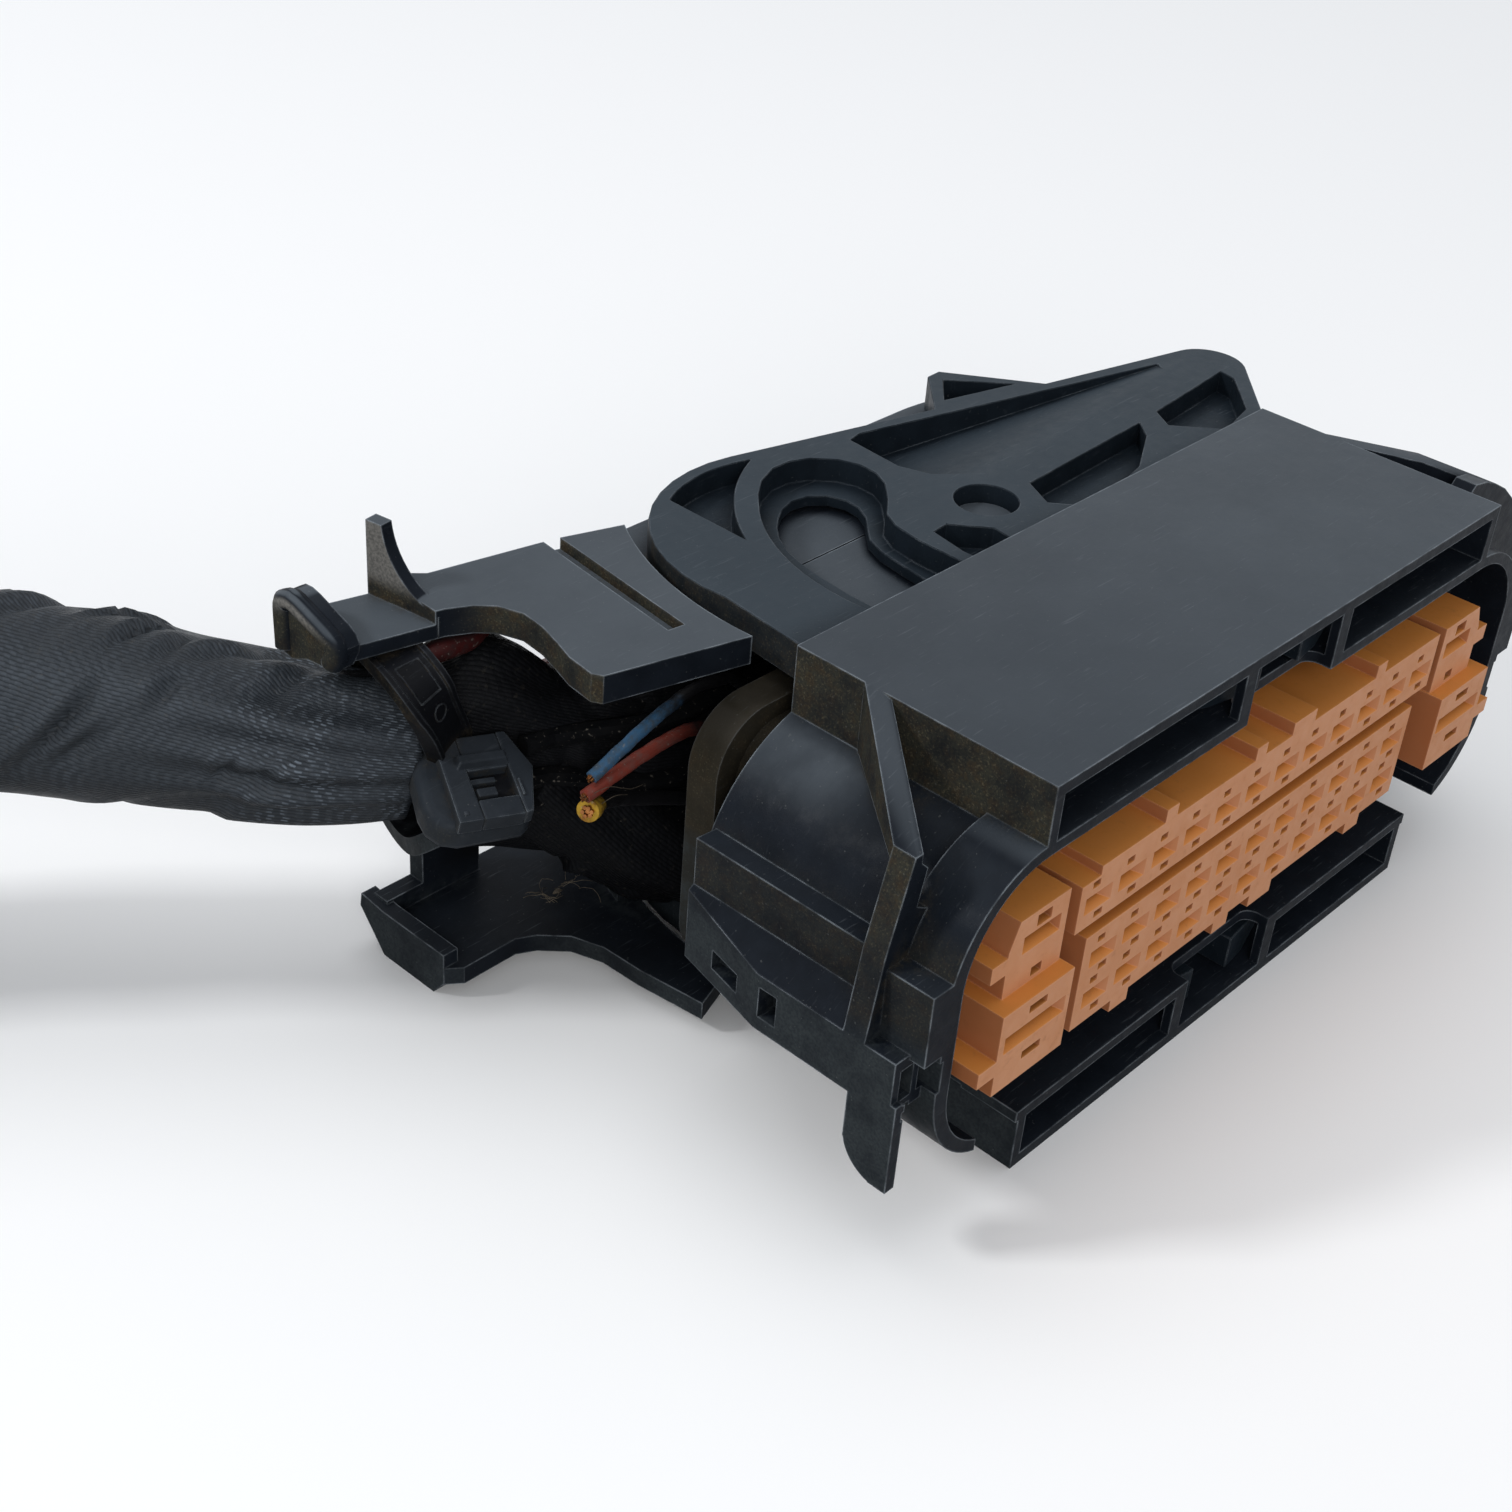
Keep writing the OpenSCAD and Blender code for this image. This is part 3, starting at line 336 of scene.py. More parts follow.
def nylon(name, dark, dust_and_sheen, dirt, dusty=1.0, gloss=0.035, sunk=0.6, crown=8.9, wear_and_highlight=0.75):
    """Old black moulded nylon: pale dust with a painted sheen on open tops, a painted highlight on the
    shoulder of the rounded left end, dirt on the left walls, scuffed edges with a painted highlight, and
    painted shade in recesses, low down and over the tray, where there is some soot too.

    dusty and wear say how much dirt there is, and how much the edges are scuffed and carry a painted
    highlight. A face sunk deeper than sunk gets no pale coat and so stays in painted shade, and a level face
    above crown always has it.
    """
    p = Paint(name, Specular_IOR_Level=gloss)
    grain = p.noise(7.0, 3.0, 0.6)
    mottle = p.noise(1.3, 6.0, 0.65)
    cloud = p.noise(0.55, 5.0, 0.6)
    specks = p.ramp(p.noise(5.5, 2.0), 0.7, 0.76)
    scuffs = p.ramp(p.noise(1.0, 4.0, 0.6, p.stretched((0.2, 0.1, 0.6), (0.5, 7.0, 2.0))), 0.6, 0.74)
    up = p.ramp(p.nz, 0.94, 0.995)
    left = p.ramp(p.x, *LEFT_X)
    hollow = p.hollow(2.2)
    crest = p.mul(p.ramp(p.z, *CREST_Z), p.ramp(p.y, *CREST_Y))
    stain = p.mul(wall_dirt(p), left, dusty, p.most(p.ramp(cloud, 0.3, 0.62, 0.35, 1.0), crest))
    ledge = p.mul(p.ramp(hollow, 0.25, 0.6), p.ramp(mottle, 0.4, 0.6), left, 0.5 * dusty)
    soiled = p.mul(p.most(stain, ledge), p.ramp(grain, 0.3, 0.65, 0.55, 1.0))
    # Scuffed edges, lightened further as a painted highlight where rounded edges catch the light
    edge_wear_and_highlight = p.mul(p.edge(0.15), p.ramp(hollow, 0.6, 0.3),
                 p.ramp(p.noise(0.7, 4.0, 0.6), 0.36, 0.62, 0.2, 0.9))
    colour = p.mix(p.ramp(cloud, 0.3, 0.7), dark, tinted(dark, 1.4))
    # Pale dust with a painted sheen on level tops, kept out of the painted shade
    colour = p.mix(p.mul(up, top_dust_and_sheen(p, sunk, crown)), colour, dust_and_sheen)
    # Painted highlight on the upper shoulder of the rounded left end
    colour = p.mix(p.mul(left, shoulder_highlight(p)), colour, dust_and_sheen)
    colour = p.mix(p.mul(scuffs, p.add(p.mul(up, 0.16), 0.06)), colour, SCUFF)
    colour = p.mix(soiled, colour, dirt_colour(p, mottle, crest, dirt))
    colour = p.mix(p.mul(specks, 0.14), colour, SPECK)
    colour = p.mix(p.mul(edge_wear_and_highlight, wear_and_highlight), colour, WORN_AND_LIT)
    # Painted shade with some soot over the cover round the wires
    colour = p.mix(p.mul(tray_shade_and_soot(p), 0.9), colour, SHADE_AND_SOOT)
    rough = p.add(p.ramp(mottle, 0.3, 0.7, 0.34, 0.48), p.mul(stain, 0.3))
    return p.finish(colour, rough, p.bump(mottle, 0.12, 0.1, p.bump(grain, 0.14, 0.04)))


# Where the painted shade on the carrier begins behind its face, and where it is darkest
CARRIER_SHADE_Y = (0.3, 4.0)


def orange():
    """Glass-filled orange nylon: chalky on the face, with painted shade and orange bounce on top, painted
    shade on faces that look left, further back and in the gaps, and a painted highlight on its edges.
    """
    p = Paint("orange_nylon", Specular_IOR_Level=0.15)
    mottle = p.noise(1.8, 5.0, 0.6)
    fine = p.noise(11.0, 2.0)
    deep = p.ramp(p.y, *CARRIER_SHADE_Y)
    up = p.ramp(p.nz, 0.3, 0.9)
    sideways = p.ramp(p.nx, -0.3, -0.9)
    hollow = p.ramp(p.hollow(1.3), 0.35, 0.9)
    colour = p.mix(p.ramp(p.noise(0.35, 4.0, 0.6), 0.3, 0.7), rgb(216, 154, 114), rgb(208, 144, 102))
    # Painted shade and bounce: the tops, which lie under the roof, go a deeper ochre
    colour = p.mix(p.mul(up, 0.85), colour, rgb(206, 130, 54))
    # Painted shade on faces that look left
    colour = p.mix(p.mul(sideways, 0.7), colour, rgb(150, 82, 40))
    # Painted shade further back from the face
    colour = p.mix(p.mul(deep, 0.45), colour, rgb(164, 92, 34))
    # Painted shade in the gaps and funnels
    colour = p.mix(p.mul(hollow, 0.75), colour, rgb(104, 54, 24))
    colour = p.mix(p.mul(p.ramp(mottle, 0.56, 0.8), 0.3), colour, rgb(150, 100, 66))
    # Painted highlight along the rounded edges
    colour = p.mix(p.mul(p.edge(0.16), 0.3), colour, rgb(232, 176, 136))
    rough = p.ramp(mottle, 0.3, 0.7, 0.42, 0.58)
    return p.finish(colour, rough, p.bump(mottle, 0.12, 0.06, p.bump(fine, 0.1, 0.03)))


def rubber():
    """Dull grey silicone."""
    p = Paint("seal_rubber", Specular_IOR_Level=0.1)
    mottle = p.noise(1.6, 5.0, 0.6)
    colour = p.mix(p.ramp(mottle, 0.3, 0.7), rgb(40, 40, 42), rgb(66, 62, 58))
    return p.finish(colour, p.ramp(mottle, 0.3, 0.7, 0.6, 0.8), p.bump(mottle, 0.2, 0.08))


def metal(name, pale, deep):
    """Drawn or plated metal, tarnished in patches."""
    p = Paint(name, Metallic=1.0)
    mottle = p.noise(2.4, 5.0, 0.6)
    colour = p.mix(p.ramp(mottle, 0.3, 0.7), pale, deep)
    return p.finish(colour, p.ramp(mottle, 0.3, 0.7, 0.28, 0.5), p.bump(p.noise(14.0), 0.15, 0.03))


# How far the edge of the painted shade on a wire wanders along it
SHADE_WANDER = 3.0


def insulation(name, clean, dusty, shaded=None, gloss=0.15):
    """Thin PVC over copper: a satin skin, dusty in patches, with painted shade in recesses, and painted black
    as shade over the shaded range of x.
    """
    p = Paint(name, Specular_IOR_Level=gloss)
    mottle = p.noise(1.5, 5.0, 0.65)
    colour = p.mix(p.ramp(mottle, 0.42, 0.7), clean, dusty)
    colour = p.mix(p.mul(p.ramp(p.noise(5.0, 2.0), 0.64, 0.74), 0.35), colour, rgb(150, 144, 134))
    # Painted shade where the wire lies deep among other parts
    colour = p.mix(p.mul(p.ramp(p.hollow(6.0), 0.45, 0.85), 0.75), colour, rgb(20, 20, 21))
    # Painted shade: black where the wire runs into the dark cover
    if shaded:
        start, end = (x + SHADE_WANDER / 2 for x in shaded)
        wire_shade = p.ramp(p.add(p.x, p.mul(mottle, SHADE_WANDER)), start, end)
        colour = p.mix(wire_shade, colour, rgb(18, 18, 20))
    return p.finish(colour, p.ramp(mottle, 0.3, 0.7, 0.34, 0.6), p.bump(mottle, 0.15, 0.06))


# Weave of the tape: threads to a millimetre of girth, their slant, dashes to a millimetre of length
THREADS, SLANT, DASHES = 5.0, 0.9, 1.7
# Where the painted glints on the tape grow strongest, towards the tie
GLINT_RUN = (11.0, 4.0)


def cloth_tape(name, deep, mid, lit, shine=1.0, gloss=0.12):
    """Woven loom tape: fine threads along the piece's own length and girth, broken into short dashes, with
    painted light on its upper side, painted glints and painted shade in its creases.
    """
    p = Paint(name, Specular_IOR_Level=gloss)
    s, g, _ = p.parts(p.node("ShaderNodeUVMap").outputs[0])
    wobble = p.mul(p.add(p.noise(0.5, 4.0, 0.6), -0.5), 1.6)
    across = p.add(p.add(p.mul(g, THREADS), p.mul(s, SLANT)), wobble)
    row = p.math("FLOOR", across)
    shift = p.math("FRACT", p.mul(p.math("SINE", p.mul(row, 12.9898)), 43.758))
    along = p.add(p.add(p.mul(s, DASHES), shift), p.mul(wobble, 0.7))
    dash = p.math("SINE", p.mul(along, TURN))
    thread = p.math("SINE", p.mul(p.math("FRACT", across), math.pi))
    weave = p.mul(thread, p.ramp(dash, -0.6, 0.5, 0.35, 1.0))
    mottle = p.noise(0.7, 6.0, 0.65)
    patch = p.noise(0.14, 3.0)
    lint = p.ramp(p.noise(3.2, 4.0, 0.7), 0.58, 0.72)
    up = p.mul(p.ramp(p.nz, -0.6, 0.3), p.ramp(p.nz, 1.0, 0.6, 0.4, 1.0))
    # Painted glints on the threads: strongest near the tie and in random patches
    glint_zone = p.most(p.ramp(s, *GLINT_RUN), p.ramp(patch, 0.5, 0.7, 0.15, 0.5))
    glint = p.mul(p.ramp(weave, 0.6, 1.0), p.ramp(mottle, 0.44, 0.62), glint_zone)
    colour = p.mix(p.ramp(patch, 0.3, 0.7), deep, mid)
    colour = p.mix(p.mul(up, 0.6), colour, lit)
    colour = p.mix(p.mul(glint, 0.7 * shine), colour, tinted(lit, 2.6))
    colour = p.mix(p.mul(p.ramp(weave, 0.35, 0.1), 0.6), colour, tinted(deep, 0.5))
    colour = p.mix(p.mul(lint, 0.12), colour, rgb(104, 98, 88))
    # Painted shade in the creases and under the laps of the tape
    colour = p.mix(p.mul(p.ramp(p.hollow(1.5), 0.35, 0.8), 0.6), colour, rgb(14, 15, 17))
    normal = p.bump(weave, 0.5, 0.06, p.bump(mottle, 0.3, 0.25))
    return p.finish(colour, p.ramp(mottle, 0.3, 0.7, 0.36, 0.56), normal)


def fibre():
    """Pale lint and grit."""
    p = Paint("fibre", Specular_IOR_Level=0.1)
    tone = p.noise(2.0, 3.0)
    colour = p.mix(p.ramp(tone, 0.35, 0.65), rgb(66, 60, 52), rgb(98, 90, 78))
    return p.finish(colour, p.ramp(tone, 0.3, 0.7, 0.5, 0.7), p.bump(tone, 0.1, 0.01))


MATERIALS = {
    "black_nylon": nylon("black_nylon", rgb(20, 24, 30), rgb(76, 82, 88), rgb(56, 55, 47)),
    "lever_nylon": nylon("lever_nylon", rgb(22, 28, 34), rgb(56, 64, 71), rgb(50, 50, 46), dusty=0.6,
                         sunk=0.44, crown=20.0),
    "dusty_nylon": nylon("dusty_nylon", rgb(42, 39, 33), rgb(52, 49, 44), rgb(52, 48, 39), gloss=0.02,
                         wear_and_highlight=0.2),
    "tie_nylon": nylon("tie_nylon", rgb(37, 41, 46), rgb(48, 54, 60), rgb(46, 46, 42), dusty=0.8),
    "strap_nylon": nylon("strap_nylon", rgb(16, 17, 20), rgb(24, 26, 31), rgb(30, 30, 28), dusty=0.8,
                         wear_and_highlight=0.2),
    "orange_nylon": orange(),
    "seal_rubber": rubber(),
    "tin": metal("tin", rgb(200, 196, 188), rgb(150, 146, 138)),
    "copper": metal("copper", rgb(168, 112, 66), rgb(104, 66, 40)),
    "blue_insulation": insulation("blue_insulation", rgb(58, 94, 126), rgb(66, 76, 84), (-20.5, -18.5)),
    "red_insulation": insulation("red_insulation", rgb(124, 56, 46), rgb(110, 72, 66), (-19.0, -16.5)),
    "yellow_insulation": insulation("yellow_insulation", rgb(176, 140, 48), rgb(120, 74, 34),
                                    (-24.3, -23.2)),
    "green_insulation": insulation("green_insulation", rgb(30, 44, 38), rgb(44, 52, 48)),
    "brown_insulation": insulation("brown_insulation", rgb(46, 32, 27), rgb(56, 46, 40)),
    "black_insulation": insulation("black_insulation", rgb(14, 15, 17), rgb(20, 20, 21), gloss=0.03),
    # Dark red power wire, its colour darkened as painted shade
    "power_insulation": insulation("power_insulation", rgb(62, 22, 22), rgb(48, 28, 28)),
    "cloth_tape": cloth_tape("cloth_tape", rgb(28, 32, 36), rgb(38, 42, 47), rgb(72, 78, 85)),
    # The same tape, darkened as painted shade where it lies under the wing
    "shaded_tape": cloth_tape("shaded_tape", rgb(14, 15, 17), rgb(20, 20, 21), rgb(24, 25, 28), shine=0.15,
                             gloss=0.03),
    "fibre": fibre(),
}

# Finishes that have no slot of their own in the record
NODE_FINISH = {
    "shell": "black_nylon", "lever": "lever_nylon", "wire_cover": "black_nylon",
    "seal_retainer": "dusty_nylon", "contact_carrier": "orange_nylon", "perimeter_seal": "seal_rubber",
    "wire_seal": "seal_rubber", "cavity_plugs": "seal_rubber", "upper_row_contacts": "tin",
    "middle_row_contacts": "tin", "lower_row_contacts": "tin", "power_contacts": "tin",
    "green_wires": "green_insulation", "brown_wires": "brown_insulation", "black_wires": "black_insulation",
    "power_wires": "power_insulation", "blue_wire": "blue_insulation", "red_wire": "red_insulation",
    "yellow_wire": "yellow_insulation", "cable_tie": "tie_nylon", "taped_loom": "cloth_tape",
}
for name, finish in NODE_FINISH.items():
    for material_slot in nodes[name].material_slots:
        material_slot.material = MATERIALS[finish]


# Folds in wound tape
FOLD_R = 4.3
RIDGE, RIDGE_AT, GROOVE_W = 0.6, 1.1, 0.6
rng = random.Random(7)


def random_folds(count, run, reach, depth, width, lean):
    """Folds spread at random over a stretch of tape. Each pair holds the two ends of a range."""
    ranges = (run, ANY_ANGLE, reach, depth, width, lean)
    return [[rng.uniform(*limits) for limits in ranges] for _ in range(count)]


def creased(folds, s, ang):
    """Height of the folds of the tape at a place on it: a groove with a ridge beside it."""
    height = 0.0
    for s0, a0, reach, depth, width, lean in folds:
        da = (ang - a0 + math.pi) % TURN - math.pi
        if abs(da) < reach:
            d = (s - s0 + da * FOLD_R * lean) / width
            fade = math.cos(da / reach * math.pi / 2) ** 2
            height += fade * depth * (RIDGE * math.exp(-(d - RIDGE_AT) ** 2) - math.exp(-(d / GROOVE_W) ** 2))
    return height


# Loom: cloth tape wound on the wires, pulled in by the tie and creased where it lies over itself
LOOM_ROUTE = [
    (-28.2, 28.95, 2.3), (-29.9, 30, 2.65), (-31.45, 31.3, 2.95),
    (-32.9, 32.75, 3.25), (-35, 35, 3.8), (-38, 38.1, 4.4), (-41.3, 41.5, 5), (-45.1, 45.2, 5.2),
    (-49.3, 49, 4.8), (-54, 52.6, 3.5), (-59, 55.9, 1.5), (-64, 58.8, -0.9), (-69.5, 61.5, -3.3),
    (-75.5, 63.8, -5.1), (-82, 65.6, -6), (-88.5, 67, -6.2)]
NECK_R, LOOM_R = 3.4, 4.35
NECK_RUN = (2.9, 20.9)
TAPE_LEAD, TAPE_STEP, LAP_AT = 12.5, 0.3, 0.93
TAPE_SIDES, TUBE_STEP = 84, 0.4
LOOM_WAVES, LOOM_LUMPS = [(0.16, 3, 0.11, 0), (0.12, 2, -0.17, 1)], (0.18, 0.25, 1.6)
PUCKER, PUCKERS, PUCKER_AT, PUCKER_RUN = 0.3, 9, 5, 4.5
PRESS, PRESS_RUN = 0.28, 4
CREASES = random_folds(70, (4, 70), (0.4, 1.1), (0.22, 0.6), (0.35, 0.95), (-0.3, -1.1))


def loom_radius(s, ang):
    """Half thickness of the loom: its neck, the laps of the tape, its lumps, and its puckers at the tie."""
    r = NECK_R + (LOOM_R - NECK_R) * rise(s, *NECK_RUN)
    turn = (s / TAPE_LEAD - ang / TURN) % 1.0
    lap = TAPE_STEP * (turn if turn < LAP_AT else (1 - turn) / (1 - LAP_AT) * LAP_AT)
    uneven = waves(LOOM_WAVES, s, ang) + lumps(*LOOM_LUMPS, s, ang)
    pull = PUCKER * math.exp(-((s - PUCKER_AT) / PUCKER_RUN) ** 2)
    pucker = pull * math.sin(PUCKERS * ang + 1.5 * math.sin(2 * ang))
    press = 1 - PRESS * max(0, -math.cos(ang)) * math.exp(-(s / PRESS_RUN) ** 2)
    return (r + lap + uneven + pucker + creased(CREASES, s, ang)) * press


BARE_END = 4.5
loom_line = spline(LOOM_ROUTE, TUBE_STEP)
loom_run = lengths(loom_line)
tape_line = [p for p, s in zip(loom_line, loom_run) if s <= loom_run[-1] - BARE_END]
bm = bmesh.new()
loft(bm, tape_line, loom_radius, TAPE_SIDES, girth=TURN * LOOM_R)
loom = piece("loom_tape", bm, "cloth_tape")
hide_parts("taped_loom")

# Cut wires in the far end of the loom, in rings: radius, number of wires, angle between them, first angle
WIRE_RINGS = [(0, 1, 0, 0), (1.35, 6, 1.047, 0), (2.7, 11, 0.571, 0.2)]
END_COLOURS = ["black_insulation", "brown_insulation", "green_insulation", "power_insulation"]
WIRE_R, POWER_R, CORE = 0.58, 0.82, 0.55
WIRE_SIDES, CORE_SIDES = 14, 12
TUCKED, SHORTER, SPREAD, KEPT_BACK = 3, 2.6, 1.12, 0.2
STRANDS_IN, STRANDS_OUT = 0.4, 0.25
tail = [p for p, s in zip(loom_line, loom_run) if s > loom_run[-1] - BARE_END - TUCKED]
tail_frames = frames(tail)
seats = [(r * math.cos(k * step + first), r * math.sin(k * step + first))
         for r, n, step, first in WIRE_RINGS for k in range(n)]
strands = bmesh.new()
groups = {c: bmesh.new() for c in END_COLOURS}
for k, (u, v) in enumerate(seats):
    short = rng.uniform(0, SHORTER)
    spread = rng.uniform(1.0, SPREAD)
    line = [p + (a * u + b * v) * spread for p, (t, a, b) in zip(tail, tail_frames)]
    tip = tangent(line, len(line) - 1)
    cut = line[-1] - tip * short
    line = [q for q in line[:-1] if (cut - q).dot(tip) > KEPT_BACK] + [cut]
    colour = END_COLOURS[k % len(END_COLOURS)]
    r = POWER_R if colour == "power_insulation" else WIRE_R
    loft(groups[colour], line, even(r), WIRE_SIDES)
    loft(strands, [cut - tip * STRANDS_IN, cut + tip * STRANDS_OUT], even(r * CORE), CORE_SIDES)
ends = [piece("loom_end_" + colour.split("_")[0], bm, colour, sharp_over=50)
        for colour, bm in groups.items()]
ends.append(piece("loom_end_strands", strands, "copper", sharp_over=50))

# The bundle under the wing, wound in the same tape and painted near black as shade. Pairs go from its neck to
# its body.
WRAP_ROUTE = [
    (-30.5, 31.2, 3.2), (-28.4, 30.2, 3.0), (-26.2, 29.2, 2.6), (-24.0, 28.0, 2.1), (-21.4, 26.7, 1.5),
    (-18.4, 25.5, 1.0), (-15.4, 24.8, 0.8), (-12.5, 24.4, 0.8)]
WRAP_DEEP, WRAP_LOW, WRAP_HIGH = 2.6, (2.6, 6.6), (2.6, 4.9)
WRAP_GROW, WRAP_SINK, SINK_RUN = (2.2, 6.2), 1.6, (6.4, 10.0)
WRAP_SQUARE, WRAP_SIDES, WRAP_GIRTH = 2.4, 72, 26
WRAP_WAVES, WRAP_LUMPS = [(0.16, 7, 0.35, 0), (0.1, 12, -0.5, 0)], (0.2, 0.4, 2)
FOLDS = random_folds(22, (3, 18), (0.4, 1.0), (0.15, 0.4), (0.3, 0.7), (-0.8, 0.8))


def wrap_radius(s, ang):
    """Half thickness of the bundle: a tall rounded section that sinks at its top further in."""
    upper = ang < math.pi
    near, far = WRAP_HIGH if upper else WRAP_LOW
    high = near + (far - near) * rise(s, *WRAP_GROW)
    if upper:
        high -= WRAP_SINK * rise(s, *SINK_RUN)
    r = ((abs(math.cos(ang)) / WRAP_DEEP) ** WRAP_SQUARE
         + (abs(math.sin(ang)) / high) ** WRAP_SQUARE) ** (-1 / WRAP_SQUARE)
    return r + waves(WRAP_WAVES, s, ang) + lumps(*WRAP_LUMPS, s, ang) + creased(FOLDS, s, ang)


bm = bmesh.new()
loft(bm, spline(WRAP_ROUTE, TUBE_STEP), wrap_radius, WRAP_SIDES, girth=WRAP_GIRTH)
piece("loom_wrap", bm, "shaded_tape")

# The lower branch, which goes down into the tray
LOWER_ROUTE = [
    (-23.0, 27.2, 0.0), (-20.4, 25.7, -2.4), (-17.8, 24.2, -4.9), (-15.2, 22.8, -6.2), (-12.0, 22.0, -6.4)]
LOWER_R, LOWER_SIDES, LOWER_GIRTH = 3.0, 60, 18
LOWER_WAVES = [(0.15, 7, 0.4, 0)]


def lower_radius(s, ang):
    """Half thickness of the lower branch."""
    return LOWER_R + waves(LOWER_WAVES, s, ang) + creased(FOLDS, s, ang)


bm = bmesh.new()
loft(bm, spline(LOWER_ROUTE, TUBE_STEP), lower_radius, LOWER_SIDES, girth=LOWER_GIRTH)
piece("lower_wrap", bm, "shaded_tape")

# A dark red wire that has come out of the bundle below the tab
STRAY_ROUTE = [
    (-29.6, 28.4, 7.2), (-28.4, 28.0, 7.6), (-27.5, 28.0, 7.8), (-26.5, 28.0, 7.75), (-25.4, 28.1, 7.65),
    (-24.3, 28.5, 7.7), (-23.0, 29.0, 7.6), (-21.4, 29.2, 7.0)]
STRAY_STEP, STRAY_SIDES = 0.3, 16
bm = bmesh.new()
loft(bm, spline(STRAY_ROUTE, STRAY_STEP), even(WIRE_R), STRAY_SIDES)
piece("stray_wire", bm, "power_insulation", sharp_over=50)

# Three wires that are cut off in front of the loom: half thickness, x and z of the contact, then the free run
CRIMP_Y, LANE_Y, BEND_R, BEND_STEPS = 12.0, 20.9, 2.4, 4
LEADS = {
    "blue": (0.31, (-11.23, 2.9), [
        (-15, 21, 4.6), (-17.5, 21, 5.1), (-19.7, 21, 4.7), (-21.6, 21, 4.05), (-23, 21, 3.5),
        (-24.15, 21, 3.05)]),
    "red": (0.34, (-9.96, -0.75), [
        (-14.8, 20.9, 1.2), (-16.6, 21, 2.5), (-18.4, 21, 2.95), (-20.6, 21, 2.85), (-22.6, 21, 2.55),
        (-24.5, 21, 2.15)]),
    "yellow": (0.36, (-9.96, -3.15), [
        (-14.8, 20.9, -2.6), (-17, 21.2, -1.6), (-19.5, 21.6, -0.6), (-22, 21.6, 0.5), (-23.6, 21.2, 1.15),
        (-24.45, 20.85, 1.4)]),
}
SWELL, SWELL_RUN = {"yellow": 0.2}, (1.6, 0.4)
WOBBLE, WOBBLE_RATE = 0.02, 5
LEAD_SIDES, STRAND_SIDES = 20, 8

# Bare strands of those wires, in shares of the wire's and then of the core's half thickness
CORE_SHARE, CORE_SWELL, RING_SHARE, STRAND_SHARE = 0.68, 0.55, 0.62, 0.3
STRAND_COUNT, STRAND_IN, STRAND_OUT, STRAND_STEP = 7, 0.3, 0.12, 0.05


def lead_radius(thick, swell, total):
    """The radius of a wire that swells before its cut end."""
    def radius(s, ang):
        end = swell * rise(s, total - SWELL_RUN[0], total - SWELL_RUN[1])
        return thick + end + WOBBLE * math.sin(WOBBLE_RATE * s) * math.sin(ang + s)
    return radius


copper = bmesh.new()
for name, (thick, (x, z), free_run) in LEADS.items():
    bend = [(x - BEND_R + BEND_R * math.cos(a), LANE_Y - BEND_R + BEND_R * math.sin(a), z)
            for a in (math.pi / 2 * k / BEND_STEPS for k in range(BEND_STEPS + 1))]
    line = spline([(x, CRIMP_Y, z)] + bend + free_run, TUBE_STEP)
    swell = SWELL.get(name, 0.0)
    bm = bmesh.new()
    loft(bm, line, lead_radius(thick, swell, lengths(line)[-1]), LEAD_SIDES)
    lead = piece(name + "_lead", bm, name + "_insulation", sharp_over=50)
    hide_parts(name + "_wire")
    cut, tip = line[-1], tangent(line, len(line) - 1)
    side = tip.orthogonal().normalized()
    other = tip.cross(side)
    core = thick * CORE_SHARE + swell * CORE_SWELL
    for k in range(STRAND_COUNT):
        a = k * TURN / (STRAND_COUNT - 1)
        ring_r = core * RING_SHARE if k < STRAND_COUNT - 1 else 0
        root = cut + (side * math.cos(a) + other * math.sin(a)) * ring_r
        out = STRAND_OUT + STRAND_STEP * (k % 3)
        loft(copper, [root - tip * STRAND_IN, root + tip * out], even(core * STRAND_SHARE), STRAND_SIDES)
piece("lead_strands", copper, "copper", sharp_over=50)

# Head of the cable tie, on axes of its own
HEAD_C = Vector((-28.4, 23.4, 3.1))
HEAD_X = Vector((0.9277, -0.3673, -0.0671))
HEAD_Y = Vector((0.3696, 0.8783, 0.3031))
HEAD_Z = Vector((-0.0524, -0.306, 0.9506))


def on_head(x, y, z):
    """A place on the head: x across the strap, y along it towards the loom, z up from the plate."""
    return HEAD_C + HEAD_X * x + HEAD_Y * y + HEAD_Z * z


def slab(bm, outline, low, high, inset=0.0):
    """A plate on the head with the given outline in x and y, narrower by inset at its top."""
    mid = [sum(q[k] for q in outline) / len(outline) for k in (0, 1)]
    wide = [max(abs(q[k] - mid[k]) for q in outline) for k in (0, 1)]
    tops = [[mid[k] + (q[k] - mid[k]) * (1 - inset / wide[k]) for k in (0, 1)] for q in outline]
    below = [bm.verts.new(on_head(*q, low)) for q in outline]
    above = [bm.verts.new(on_head(*q, high)) for q in tops]
    skin(bm, [below, above])


def block(x0, x1, y0, y1):
    """A rectangular outline."""
    return [(x0, y0), (x1, y0), (x1, y1), (x0, y1)]


def bevelled(obj, width, segments=2, angle=35):
    """Rounds the edges of an object where its faces meet at more than angle degrees."""
    m = obj.modifiers.new("soft edges", "BEVEL")
    m.width = width * MM
    m.segments = segments
    m.limit_method = "ANGLE"
    m.angle_limit = math.radians(angle)
    m.use_clamp_overlap = True
    m.harden_normals = False


